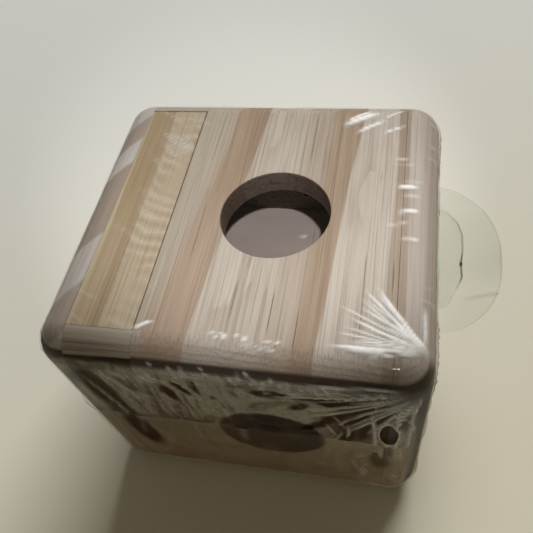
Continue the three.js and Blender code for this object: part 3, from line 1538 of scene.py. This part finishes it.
@dataclass
class FilmEar:
    """The spare corner of film that stands out from the right side, with a smaller welded pocket."""

    name: str
    node: str
    finish: FilmFinish
    pocket_steps: tuple[float, ...] = (-5.4, -5.1, -4.0, 4.0, 9.0, 15.0, 22.0, 29.0, 35.0, 40.5, 43.0)
    pocket_reach: tuple[float, ...] = (0.5, 4.4, 6.0, 9.4, 11.2, 10.9, 11.7, 11.6, 9.8, 5.4, 0.5)
    pocket_span: Span = (2.0, 42.0)  # front and back ends of the weld's brown tint
    weld_width: float = 0.26
    bead: Span = (71.7, 15.0)
    bead_size: Span = (0.42, 0.75)
    tail_front: Span = (6.0, 10.0)  # where the bead's brown tail fades in, and out again
    tail_back: Span = (22.0, 18.0)
    tail_width: float = 0.22
    fold: Span = (77.0, 1.0)  # a spot on the slanting fold in front
    fold_slope: float = 0.35
    fold_width: float = 1.1
    rows: int = 96
    columns: int = 220
    droop: float = 1.1
    veil_share: float = 0.62
    ear_shine: float = 0.6
    thickness: float = 0.12

    def _outline(self) -> tuple[np.ndarray, np.ndarray, np.ndarray, np.ndarray]:
        """Lays out the ear on a flattened half-oval; it waves gently and droops as it goes out.

        Returns:
            X, Y and Z of the grid in millimetres, and how far out each row is, from 0 to 1.
        """
        low, high = node_box(self.node)
        out = np.linspace(0.0, 1.0, self.rows)[:, None]
        run = np.linspace(-1.0, 1.0, self.columns)[None, :]
        width = np.maximum((1.0 - np.abs(run) ** 2.3) ** (1.0 / 1.9), 0.02)
        x = low[0] + (high[0] - low[0]) * out * width
        y = 0.5 * (low[1] + high[1]) + 0.5 * (high[1] - low[1]) * run + 0.0 * x
        wave = np.sin(y * 0.16 + x * 0.11) * 0.5 + np.sin(y * 0.31 - x * 0.23 + 1.0) * 0.25
        away = (x - low[0]) / (high[0] - low[0])
        z = 0.5 * (low[2] + high[2]) + away * (wave - self.droop * away)
        return x, y, z, out

    def _pocket(self, x: np.ndarray, y: np.ndarray) -> tuple[np.ndarray, np.ndarray]:
        """Finds how far each point is outside the pocket's weld, and which points it runs beside.

        The weld's reach is read off between the pocket's steps, with a ragged ripple on its middle.

        Args:
            x: The points' X.
            y: The points' Y.

        Returns:
            The distances in millimetres, and True where the pocket is.
        """
        low, _ = node_box(self.node)
        beside = (y > self.pocket_steps[0]) & (y < self.pocket_steps[-1])
        ripple = np.sin(y * 4.3) * np.sin(y * 1.7 + 0.4) * ease(29.0, 24.0, y) * ease(5.0, 9.0, y)
        return x - (low[0] + np.interp(y, self.pocket_steps, self.pocket_reach) + 0.10 * ripple), beside

    def make(self) -> Any:
        """Builds the ear: rows run out from the case to the outline, columns run front to back.

        The pocket's weld stands up as a thin line, and one end of it is burnt to a bead.

        Returns:
            The object.
        """
        x, y, z, out = self._outline()
        off, beside = self._pocket(x, y)
        within = ease(0.25, -0.25, off) * beside
        line = bell(off, self.weld_width) * beside
        bead = bell(x - self.bead[0], self.bead_size[0]) * bell(y - self.bead[1], self.bead_size[1])
        tail = bell(off, self.tail_width) * ease(*self.tail_front, y) * ease(*self.tail_back, y)
        rim = ease(0.955, 0.995, out) + 0.0 * x
        slant = (x - self.fold[0]) * self.fold_slope - (y - self.fold[1])
        fold = bell(slant, self.fold_width) * ease(self.fold[0] - 7.0, self.fold[0] - 1.0, x)
        z = z + 0.25 * line + 0.7 * bead + 0.5 * fold

        veil_and_reflection = 0.06 + 0.12 * ease(2.0, 14.0, y) + 0.22 * within + 0.25 * (line + rim + fold)
        front_end, back_end = self.pocket_span
        tint = ease(front_end, front_end + 6.0, y) * ease(back_end, back_end - 8.0, y)
        melt = 0.30 * line * tint + bead + 0.5 * tail
        index = np.arange(x.size).reshape(x.shape)
        quads = np.stack([index[:-1, :-1], index[1:, :-1], index[1:, 1:], index[:-1, 1:]], axis=-1)
        shell = Shell(np.stack([x, y, z], axis=-1).reshape(-1, 3), quads.reshape(-1, 4))
        shell.marks = {
            "crease": np.zeros(x.size),
            "veil_and_reflection": np.clip(self.veil_share * veil_and_reflection, 0.0, 1.0).ravel(),
            "shine": np.full(x.size, self.ear_shine),
            "melt": np.clip(melt, 0.0, 1.0).ravel(),
        }
        return film_piece(shell, self.name, self.node, self.finish, self.thickness, 0.0)


# ---------------------------------------------------------------------------------------------
# The boards' own finishes
# ---------------------------------------------------------------------------------------------

CREAM: Colour = (0.485, 0.436, 0.39)
TAN: Colour = (0.365, 0.272, 0.208)
BROWN: Colour = (0.275, 0.19, 0.128)

STREAKED_PINE = PineFinish(
    name="streaked_pine",
    pale=CREAM,
    dark=BROWN,
    pith=(6.0, -60.0),
    ring_pitch=1.35,
    ring_strength=0.33,
    fibre_strength=0.64,
    mottle_strength=0.14,
    streaks=(
        Streak(-40.0, -15.5, (0.40, 0.345, 0.285), 0.9, 0.0, 0.03, 1.0, 5.0),
        Streak(-18.5, -5.9, TAN, 0.9, 0.085, 0.086, 6.0, 1.0),
        Streak(-12.5, -5.9, BROWN, 0.55, 0.05, 0.086, 5.0, 1.2, (-6.0, 90.0), 30.0),
        Streak(12.5, 23.0, (0.375, 0.305, 0.25), 0.75, 0.02, 0.03, 7.0, 3.0),
        Streak(21.6, 30.2, (0.32, 0.235, 0.17), 0.9, 0.032, 0.07, 4.0, 0.9),
        Streak(45.3, 70.0, (0.33, 0.26, 0.20), 0.75, 0.0, 0.0, 1.3, 1.0),
        Streak(45.3, 49.6, (0.27, 0.20, 0.155), 0.55, 0.0, 0.0, 1.3, 1.0, (0.0, 90.0), 20.0),
    ),
    cracks=(
        Crack(1.2, -41.0, -29.0, 0.22),
        Crack(13.0, -45.0, -31.0, 0.28, 0.6),
        Crack(21.0, -50.0, -38.0, 0.24),
        Crack(38.5, -44.0, -16.0, 0.24, 0.5),
        Crack(-16.0, -20.0, 2.0, 0.24, 0.45),
        Crack(7.5, -44.0, -22.0, 0.22, 0.35),
        Crack(46.9, -28.0, -18.0, 0.26, 0.6),
        Crack(16.5, 24.0, 46.0, 0.26, 0.4),
        Crack(25.8, -6.0, 44.0, 0.26, 0.35),
    ),
    bore=(8.0, -0.8, 18.0),
    bore_colour=(0.10, 0.063, 0.046),
    end_rings=0.4,
    seed=0.0,
)
CURLY_PINE = PineFinish(
    name="curly_pine",
    pale=(0.435, 0.36, 0.275),
    dark=(0.30, 0.225, 0.14),
    pith=(-70.0, 60.0),
    ring_pitch=1.5,
    ring_strength=0.22,
    mottle_strength=0.2,
    streaks=(
        Streak(-60.0, -40.6, (0.39, 0.30, 0.20), 0.9, 0.0, -0.01, 1.0, 3.5),
        Streak(-60.0, -40.6, (0.32, 0.24, 0.15), 0.8, 0.0, -0.01, 1.0, 3.5, (-30.0, 90.0), 40.0),
        Streak(-41.6, -38.4, (0.30, 0.22, 0.14), 0.7, -0.01, -0.01, 1.6, 1.2),
        Streak(-50.0, -47.3, (0.52, 0.46, 0.33), 0.6, 0.0, 0.0, 0.5, 0.6),
    ),
    cracks=(Crack(-36.2, -46.0, -20.0, 0.25, 0.3), Crack(-31.5, -30.0, -4.0, 0.22, 0.25)),
    curl=0.38,
    curl_span=(-38.5, -20.0),
    seed=11.0,
)
GREY_PINE = PineFinish(
    name="grey_pine",
    pale=(0.50, 0.47, 0.455),
    dark=(0.31, 0.25, 0.215),
    pith=(-130.0, 40.0),
    ring_pitch=2.4,
    ring_strength=0.30,
    mottle_strength=0.3,
    streaks=tuple(
        Streak(-90.0, -40.0, (0.29, 0.225, 0.185), strength, span=span, span_soft=3.0, span_slant=-1.33)
        for strength, span in ((0.8, (98.0, 114.0)), (0.85, (51.0, 88.0)), (0.75, (12.0, 34.0)))
    ),
    end_rings=0.35,
    seed=23.0,
)
BEIGE_PINE = PineFinish(
    name="beige_pine",
    pale=(0.455, 0.405, 0.365),
    dark=(0.30, 0.235, 0.20),
    pith=(120.0, 30.0),
    ring_pitch=2.1,
    ring_strength=0.34,
    mottle_strength=0.25,
    streaks=(
        Streak(40.0, 50.3, (0.315, 0.245, 0.19), 0.8, 0.0, 0.012, 1.0, 0.8),
        Streak(55.5, 80.0, (0.30, 0.225, 0.19), 0.55, 0.0, 0.0, 4.0, 1.0),
    ),
    end_rings=0.35,
    seed=31.0,
)
# Painted shade: the front wall wears a very dark copy of the pine colours, its opening's wall included,
# standing for the shade on the front face.
PAINTED_SHADE_FRONT_PINE = PineFinish(
    name="front_pine",
    pale=(0.07, 0.032, 0.011),
    dark=(0.026, 0.012, 0.004),
    sheen=0.08,
    grain=Grain.LEFT_TO_RIGHT,
    pith=(150.0, 20.0),
    ring_pitch=2.6,
    ring_strength=0.35,
    bore=(53.0, 10.5, 18.0),
    bore_colour=(0.05, 0.022, 0.014),
    streaks=(
        # a darker band of painted shade under the round-over, then the plain pine colour again on the
        # tongue's top
        Streak(86.0, 120.0, PAINTED_SHADE_BROWN, 0.85, left_soft=3.0),
        Streak(96.4, 130.0, (0.42, 0.36, 0.31), 0.95, left_soft=0.9),
    ),
    seed=43.0,
)
BACK_PINE = PineFinish(
    name="dark_pine",
    pale=(0.37, 0.30, 0.235),
    dark=(0.20, 0.145, 0.105),
    grain=Grain.LEFT_TO_RIGHT,
    streaks=(Streak(94.0, 130.0, (0.42, 0.36, 0.31), 0.9, left_soft=3.0),),
    pith=(-50.0, 120.0),
    ring_pitch=2.9,
    ring_strength=0.4,
    # the inner face: torn fibres, darkened with painted shade
    fuzz_and_shade=0.9,
    fuzz_depth=48.6,
    # painted highlight: a pale ring round the pin hole's rim
    bore=(55.5, 8.2, 1.7),
    bore_colour=(0.30, 0.25, 0.21),
    seed=57.0,
)
SHELF_PINE = PineFinish(
    name="shelf_pine",
    pale=(0.66, 0.555, 0.50),
    dark=(0.46, 0.37, 0.33),
    grain=Grain.SHELF_LEFT_TO_RIGHT,
    pith=(0.0, -160.0),
    ring_pitch=3.4,
    ring_strength=0.16,
    fibre_strength=0.22,
    mottle_strength=0.25,
    relief=0.12,
    seed=61.0,
)
BOTTOM_PINE = PineFinish(
    name="bottom_pine",
    pale=(0.42, 0.34, 0.255),
    dark=(0.26, 0.185, 0.125),
    pith=(20.0, 130.0),
    ring_pitch=2.2,
    seed=71.0,
)


# ---------------------------------------------------------------------------------------------
# Sub-assemblies
# ---------------------------------------------------------------------------------------------


@dataclass
class PineCase:
    """The case's eight boards and the inlaid strip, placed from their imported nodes."""

    form: CaseForm
    glue_line: float = 0.1
    tongue_root: float = 9.0  # how far below the top board a tongue's block starts
    opening_radius: float = 18.0
    top_opening: Span = (8.0, -0.8)
    front_opening: Span = (53.0, 10.5)  # height, then distance to the right
    pin_hole: tuple[float, float, float] = (55.5, 8.2, 1.2)

    def _end_blocks(self, node: str) -> tuple[tuple[np.ndarray, np.ndarray], ...]:
        """A front or back board's blocks: its wall up to the top board, and its tongue at the left.

        Args:
            node: The board's node.

        Returns:
            The wall and the tongue.
        """
        low, high = node_box(node)
        lid_low, _ = node_box("top_board")
        wall = (low.copy(), np.array([high[0], high[1], lid_low[2] - self.glue_line]))
        tongue_low = np.array([low[0], low[1], lid_low[2] - self.tongue_root])
        tongue_high = np.array([lid_low[0] - self.glue_line, high[1], self.form.high[2]])
        return wall, (tongue_low, tongue_high)

    def make(self) -> list[Any]:
        """Builds every board.

        Returns:
            The objects.
        """
        pieces = []
        plain = (
            ("left_side", "left_side_board", "grey_pine", GREY_PINE, 3.0),
            ("right_side", "right_side_board", "beige_pine", BEIGE_PINE, 3.0),
            ("inlay_strip", "top_inlay_strip", "curly_pine", CURLY_PINE, 2.4),
            ("bottom", "bottom_board", "bottom_pine", BOTTOM_PINE, 3.4),
            ("shelf_wide_part", "shelf_board_wide", "shelf_pine", SHELF_PINE, 2.4),
            ("shelf_narrow_part", "shelf_board_narrow", "shelf_pine", SHELF_PINE, 2.4),
        )
        for name, node, slot, finish, pitch in plain:
            board = Board(name, node, slot, finish, self.form, (node_box(node),), pitch=pitch)
            pieces.append(board.make())
        lid = Board(
            "lid", "top_board", "streaked_pine", STREAKED_PINE, self.form, (node_box("top_board"),),
            opening=(*self.top_opening, self.opening_radius), thin_axis=2,
        )
        pieces.append(lid.make())
        front = Board(
            "front_wall", "front_board", "front_pine", PAINTED_SHADE_FRONT_PINE, self.form,
            self._end_blocks("front_board"),
            opening=(*self.front_opening, self.opening_radius), thin_axis=1,
        )
        pieces.append(front.make())
        back = Board(
            "back_wall", "back_board", "dark_pine", BACK_PINE, self.form,
            self._end_blocks("back_board"), opening=self.pin_hole, thin_axis=1,
            rim=0.12, collar=1.0,
        )
        pieces.append(back.make())
        return pieces


@dataclass
class ShrinkWrap:
    """The two welded film sheets and the ear."""

    form: CaseForm
    upper_lift: float = 0.16

    def _top_wrinkles(self) -> list[Wrinkle]:
        """Creases on the top: pulled corners, short bright glints at the right and curls in front.

        Returns:
            The creases.
        """
        top = Side.TOP
        made = fan(top, (57.5, -47.0), (186.0, 124.0), (12.0, 31.0), 22, 3, 1.0, 0.16, 0.36, 0.5)
        made += [
            Wrinkle(top, (34.0, -47.3), (47.5, -48.3), 0.7, 0.4, 0.9),
            Wrinkle(top, (46.5, -39.0), (57.6, -47.4), 1.3, 0.3, 1.0, 0.4, 0.35),
            Wrinkle(top, (50.0, -38.5), (57.4, -45.6), 0.7, 0.25, 0.95, -0.3, 0.3),
            Wrinkle(top, (56.4, -46.5), (56.0, -31.0), 0.55, 0.35, 0.7, 0.2, 0.4),
            Wrinkle(top, (25.5, 41.0), (39.5, 48.6), 1.0, 0.4, 0.95, 0.3, 0.35),
            Wrinkle(top, (27.0, 43.5), (36.0, 49.0), 0.6, 0.35, 0.8, 0.2, 0.3),
            Wrinkle(top, (30.5, 37.0), (41.5, 44.5), 0.7, 0.35, 0.75, 0.2, 0.35),
            Wrinkle(top, (39.5, 37.0), (48.5, 41.5), 0.5, 0.3, 0.6, 0.2, 0.35),
            Wrinkle(top, (40.0, 45.0), (47.5, 50.0), 0.45, 0.3, 0.5),
            Wrinkle(top, (45.8, 11.8), (53.4, 12.9), 0.5, 0.35, 0.9, 0.15),
            Wrinkle(top, (46.6, 1.6), (53.6, 2.5), 0.5, 0.35, 0.9, 0.1),
            Wrinkle(top, (48.0, -8.6), (54.0, -9.1), 0.45, 0.3, 0.42, 0.3),
            Wrinkle(top, (-26.8, -47.8), (-21.3, -44.3), 0.5, 0.35, 0.9, 0.2),
            Wrinkle(top, (17.5, -9.5), (19.3, -9.9), 0.34, 0.15, 0.38),
        ]
        made += scatter(
            top, (46.0, -4.0), (52.0, 31.0), (6.0, 9.0), (-6.0, 14.0), 8, 14, 0.28, 0.2, 0.4, 0.3
        )
        made += scatter(
            top, (-3.0, -48.4), (8.0, -46.6), (2.0, 3.2), (50.0, 75.0), 6, 15, 0.8, 0.3, 0.34,
            0.3
        )
        made += scatter(
            top, (7.0, -49.0), (19.0, -47.4), (2.5, 4.5), (-20.0, 20.0), 5, 16, 0.65, 0.3, 0.34,
            0.9
        )
        made += fan(top, (-24.0, 20.0), (152.0, 118.0), (10.0, 26.0), 9, 17, 0.2, 0.25, 0.5, 6.0)
        made += scatter(
            top, (-46.0, -50.0), (-28.0, 48.0), (8.0, 22.0), (140.0, 165.0), 14, 18, 0.10, 0.2,
            0.6
        )
        return made

    def _front_wrinkles(self) -> list[Wrinkle]:
        """Creases on the front: a fan from the right corner, ticks under the edge and long folds.

        Returns:
            The creases.
        """
        front = Side.FRONT
        made = fan(front, (56.5, 95.5), (184.0, 262.0), (18.0, 48.0), 22, 31, 0.62, 0.35, 0.36, 3.0)
        made += scatter(
            front, (-22.0, 91.5), (34.0, 95.0), (3.0, 6.0), (95.0, 130.0), 30, 32, 0.55, 0.25,
            0.26
        )
        made += scatter(
            front, (-26.0, 84.5), (-9.0, 90.5), (3.0, 7.0), (60.0, 140.0), 14, 33, 0.45, 0.4,
            0.32, 1.2
        )
        made += scatter(
            front, (12.0, 85.5), (22.0, 91.0), (4.0, 6.0), (0.0, 170.0), 8, 34, 0.42, 0.35, 0.32,
            1.6
        )
        made += scatter(
            front, (-18.0, 66.0), (26.0, 88.0), (6.0, 16.0), (75.0, 118.0), 22, 35, 0.16, 0.25,
            0.32
        )
        made += scatter(
            front, (26.0, 48.0), (56.0, 90.0), (6.0, 20.0), (60.0, 115.0), 18, 36, 0.42, 0.35,
            0.36, 1.2
        )
        made += scatter(
            front, (-52.0, 28.0), (-30.0, 88.0), (8.0, 26.0), (92.0, 112.0), 16, 37, 0.2, 0.3,
            0.35, 1.0
        )
        made += scatter(
            front, (-45.0, 8.0), (45.0, 50.0), (10.0, 28.0), (80.0, 100.0), 18, 38, 0.08, 0.3,
            0.8
        )
        made += [
            Wrinkle(front, (43.0, 84.0), (44.5, 52.0), 0.55, 0.6, 0.5, 0.6),
            Wrinkle(front, (51.5, 90.0), (51.0, 50.0), 0.6, 0.6, 0.5, -0.7),
            Wrinkle(front, (54.5, 92.0), (53.6, 46.0), 0.5, 0.5, 0.45, 0.5),
            Wrinkle(front, (-47.0, 90.0), (-36.0, 30.0), 0.6, 0.5, 0.22, 1.0),
            Wrinkle(front, (-40.0, 92.0), (-30.0, 66.0), 0.6, 0.5, 0.25, 1.8),
        ]
        return made

    def _other_wrinkles(self) -> list[Wrinkle]:
        """Creases on the sides that face away: fans from every top corner and soft upright folds.

        Returns:
            The creases.
        """
        made = []
        corners = ((Side.LEFT, 53.0), (Side.RIGHT, 53.0), (Side.BACK, 56.0))
        for number, (side, reach) in enumerate(corners):
            made += fan(
                side, (-reach, 95.0), (-8.0, -82.0), (14.0, 40.0), 15, 41 + number, 0.2, 0.45,
                0.4
            )
            made += fan(
                side, (reach, 95.0), (188.0, 262.0), (14.0, 40.0), 15, 51 + number, 0.2, 0.45,
                0.4
            )
            made += scatter(
                side, (-45.0, 60.0), (45.0, 88.0), (8.0, 22.0), (70.0, 110.0), 26, 61 + number,
                0.16, 0.35
            )
            made += scatter(
                side, (-48.0, 88.0), (48.0, 92.0), (3.0, 6.0), (60.0, 120.0), 34, 66 + number,
                0.35, 0.3, 0.34
            )
        made += scatter(
            Side.RIGHT, (-50.0, 94.0), (50.0, 99.0), (4.0, 8.0), (80.0, 100.0), 9, 71, 0.12, 0.2,
            0.3
        )
        return made

    def _lower_wrinkles(self) -> list[Wrinkle]:
        """Creases on the lower sheet: upright folds and fans from the bottom corners.

        Returns:
            The creases.
        """
        made = []
        for number, side in enumerate((Side.FRONT, Side.BACK, Side.LEFT, Side.RIGHT)):
            reach = 56.0 if side in (Side.FRONT, Side.BACK) else 53.0
            made += scatter(
                side, (-48.0, 8.0), (48.0, 52.0), (10.0, 30.0), (76.0, 104.0), 30, 81 + number,
                0.10, 0.4, 0.8
            )
            made += fan(side, (-reach, 6.0), (6.0, 84.0), (12.0, 34.0), 12, 91 + number, 0.13, 0.4, 0.45)
            made += fan(
                side, (reach, 6.0), (96.0, 174.0), (12.0, 34.0), 12, 101 + number, 0.13, 0.4,
                0.45
            )
        made += scatter(
            Side.FRONT, (38.0, 20.0), (56.0, 55.0), (6.0, 18.0), (70.0, 110.0), 16, 111, 0.32,
            0.5, 0.5
        )
        return made

    def _leaves(self) -> list[Leaf]:
        """Where the film on the front lies tight and clear.

        Returns:
            The patches.
        """
        front = Side.FRONT
        return [
            Leaf(front, (-43.0, 73.0), (5.0, 19.0), 6.0),
            Leaf(front, (-40.0, 49.0), (5.0, 22.0), 7.0),
            Leaf(front, (-31.5, 82.0), (2.0, 6.0), 25.0, 0.7),
            Leaf(front, (-18.5, 79.5), (2.2, 6.5), 12.0),
            Leaf(front, (-13.5, 84.0), (1.7, 5.5), 24.0),
            Leaf(front, (-9.0, 86.0), (1.2, 6.0), 2.0),
            Leaf(front, (14.0, 87.0), (6.5, 3.0), 0.0),
            Leaf(front, (22.0, 80.0), (2.2, 4.0), -40.0),
            Leaf(front, (34.0, 85.0), (9.0, 4.0), -18.0),
            Leaf(front, (48.0, 84.0), (6.0, 8.0), -25.0),
            Leaf(front, (27.0, 67.0), (2.2, 8.5), -42.0),
            Leaf(front, (38.0, 74.0), (3.0, 8.0), -35.0),
            Leaf(front, (48.7, 66.0), (2.7, 7.6), 0.0),
            Leaf(front, (36.0, 60.0), (2.4, 5.0), -15.0),
            Leaf(front, (10.5, 53.0), (18.0, 18.0), 0.0, 0.9, 0.05),  # over the opening
            Leaf(front, (47.5, 84.0), (14.5, 13.5), -8.0, 0.97, 0.4),
            Leaf(front, (38.0, 66.0), (9.0, 14.0), -20.0, 0.8, 0.5),
            Leaf(front, (50.0, 76.0), (3.0, 10.0), -10.0, 0.9),
            Leaf(front, (32.0, 74.0), (2.0, 7.0), -38.0),
            Leaf(front, (41.5, 66.0), (1.8, 8.0), -10.0, 0.9),
            Leaf(front, (24.0, 86.5), (3.6, 1.6), 10.0, 0.9),
            Leaf(front, (-26.0, 77.0), (1.6, 2.2), 0.0, 0.7),
            Leaf(front, (-4.5, 79.0), (1.3, 1.6), 0.0, 0.9),
            Leaf(front, (3.0, 84.0), (1.2, 2.4), 15.0, 0.7),
        ]

    def make(self) -> list[Any]:
        """Builds the upper sheet, the lower sheet and the ear.

        Returns:
            The objects.
        """
        upper_low, _ = node_box("film_upper_sheet")
        _, lower_high = node_box("film_lower_sheet")
        wrap = CaseForm(
            self.form.low - self.upper_lift, self.form.high + self.upper_lift,
            self.form.radius + self.upper_lift, 10,
        )
        opening = Leaf(Side.FRONT, (10.5, 53.0), (18.0, 18.0), 0.0, 0.8, 0.05)
        lower_leaves = [
            Leaf(Side.FRONT, (-39.0, 42.0), (4.8, 17.0), 7.0),
            Leaf(Side.FRONT, (47.0, 44.0), (4.0, 12.0), -4.0, 0.7),
            opening,
        ]
        other_reflection_veils = {side: 0.26 for side in (Side.LEFT, Side.RIGHT, Side.BACK)}
        upper = FilmSheet(
            name="film_upper",
            node="film_upper_sheet",
            finish=FilmFinish("clear_film", patches=0.8),
            form=wrap,
            weld_side=-1,
            weld=float(upper_low[2]),
            pitches=(
                lambda x: 0.45 if x > 27.0 else 1.2,
                lambda y: 0.45 if y < -29.0 else 1.25,
                lambda z: 0.66 if z > 62.0 else 1.0,
            ),
            wrinkles=self._top_wrinkles() + self._front_wrinkles() + self._other_wrinkles(),
            leaves=self._leaves(),
            reflection_veils={Side.FRONT: 0.37, **other_reflection_veils},
            upright_shine=0.28,
            vent=((48.7, 66.5), (2.8, 8.0)),
        )
        lower = FilmSheet(
            name="film_lower",
            node="film_lower_sheet",
            finish=FilmFinish("lower_film", patches=0.3),
            form=wrap,
            weld_side=1,
            weld=float(lower_high[2]),
            pitches=(lambda x: 1.2, lambda y: 1.3, lambda z: 1.1),
            wrinkles=self._lower_wrinkles(),
            leaves=lower_leaves,
            reflection_veils={Side.FRONT: 0.32, **other_reflection_veils},
            upright_shine=0.28,
        )
        tone = (0.52, 0.53, 0.45)
        ear_finish = FilmFinish("ear_film", veil_and_reflection_tone=tone, low_veil_and_reflection_tone=tone, patches=0.0)
        ear = FilmEar("welded_ear", "film_ear", ear_finish)
        return [upper.make(), lower.make(), ear.make()]


# ---------------------------------------------------------------------------------------------
# Studio
# ---------------------------------------------------------------------------------------------


@dataclass(frozen=True)
class FloorFinish:
    """Pale painted table, cool grey at the back and creamy in front."""

    cool: Colour = (0.765, 0.78, 0.79)
    warm: Colour = (0.80, 0.765, 0.585)

    def material(self) -> bpy.types.Material:
        """Writes the finish: two tones blended from back to front, with a faint mottle.

        Returns:
            The material.
        """
        bench = Bench("pale_table")
        x, y, z = bench.place()
        share = (y * -0.9 + x * 0.45).rise(-330.0, 260.0)
        mottle = bench.noise(bench.spot(x, y, z), 0.012, 3.0)
        tone = bench.blend(share * 0.85 + mottle * 0.15, self.cool, self.warm)
        surface = bench.node(
            "ShaderNodeBsdfPrincipled", None, {"Base Color": tone, "Roughness": mottle * 0.1 + 0.6}
        )
        surface.inputs["Specular IOR Level"].default_value = 0.2
        return bench.finish(surface.outputs[0])


@dataclass
class Studio:
    """The table, the lights, the surroundings and the camera."""

    lens: float = 39.44
    eye: tuple[float, float, float] = (0.0459, -0.1213, 0.2435)
    yaw: float = -20.44
    pitch: float = 53.52
    roll: float = 12.87
    lamp: tuple[float, float, float] = (0.0643, -0.1215, 0.296)
    window: tuple[float, float, float] = (0.80, 4.0, 3.2)

    def _table(self) -> None:
        """Lays the table: a flat grid on Z = 0, three metres across."""
        line = np.linspace(-1500.0, 1500.0, 31)
        x, y = np.meshgrid(line, line, indexing="ij")
        points = np.stack([x, y, np.zeros_like(x)], axis=-1).reshape(-1, 3)
        index = np.arange(x.size).reshape(x.shape)
        quads = np.stack([index[:-1, :-1], index[1:, :-1], index[1:, 1:], index[:-1, 1:]], axis=-1)
        table = Shell(points, quads.reshape(-1, 4)).build("table", FloorFinish().material())

    def _camera(self) -> None:
        """Sets the camera up from its heading, tilt and roll."""
        yaw, pitch, roll = (math.radians(a) for a in (self.yaw, self.pitch, self.roll))
        level_share = math.cos(pitch)
        ahead = Vector((math.sin(yaw) * level_share, math.cos(yaw) * level_share, -math.sin(pitch)))
        level = ahead.cross(Vector((0.0, 0.0, 1.0))).normalized()
        under = ahead.cross(level)
        right = level * math.cos(roll) + under * math.sin(roll)
        down = under * math.cos(roll) - level * math.sin(roll)
        data = bpy.data.cameras.new("camera")
        data.lens = self.lens
        data.sensor_width = 36.0
        data.clip_start = 0.01
        camera = bpy.data.objects.new("camera", data)
        turned = Matrix((right, -down, -ahead)).transposed().to_4x4()
        camera.matrix_world = Matrix.Translation(self.eye) @ turned
        bpy.context.scene.collection.objects.link(camera)
        bpy.context.scene.camera = camera

    def _light(
        self, name: str, kind: str, place: Sequence[float], aim: Sequence[float], **facts: Any
    ) -> Any:
        """Hangs a light at a place and points it at another.

        Args:
            name: The light's name.
            kind: Blender's light type.
            place: Where it hangs, in metres.
            aim: What it points at, in metres.
            facts: Its energy, size, colour and so on.

        Returns:
            The light.
        """
        data = bpy.data.lights.new(name, kind)
        for key, value in facts.items():
            setattr(data, key, value)
        light = bpy.data.objects.new(name, data)
        light.location = place
        light.rotation_euler = (Vector(aim) - Vector(place)).to_track_quat("-Z", "Y").to_euler()
        bpy.context.scene.collection.objects.link(light)
        return light

    def set_up(self) -> None:
        """Puts everything in place."""
        self._table()
        self._camera()
        self._light(
            "lamp", "SPOT", self.lamp, (-0.004, 0.033, 0.09), energy=1.72, shadow_soft_size=0.003,
            spot_size=math.radians(42.0), spot_blend=0.75, color=(1.0, 0.975, 0.985),
        )
        window = self._light(
            "window", "AREA", self.window, (0.0, 0.0, 0.03), energy=262.0, size=2.6,
            color=(1.0, 0.985, 0.95),
        )
        window.visible_glossy = False
        world = bpy.data.worlds.new("soft_room")
        world.use_nodes = True
        back = world.node_tree.nodes["Background"]
        back.inputs["Color"].default_value = (1.0, 0.86, 0.64, 1.0)
        back.inputs["Strength"].default_value = 0.135
        bpy.context.scene.world = world
        bpy.context.scene.view_settings.view_transform = "Standard"


def main() -> None:
    """Builds the studio, the pine case and the film, and reports each piece."""
    logging.basicConfig(level=logging.INFO, format="%(message)s")
    Studio().set_up()
    boxes = [node_box(node) for node in ("left_side_board", "right_side_board")]
    form = CaseForm(np.minimum(boxes[0][0], boxes[1][0]), np.maximum(boxes[0][1], boxes[1][1]))
    for assembly in (PineCase(form), ShrinkWrap(form)):
        for piece in assembly.make():
            LOG.info("%s: %s, %d faces", type(assembly).__name__, piece.name, len(piece.data.polygons))


if __name__ == "__main__":
    main()
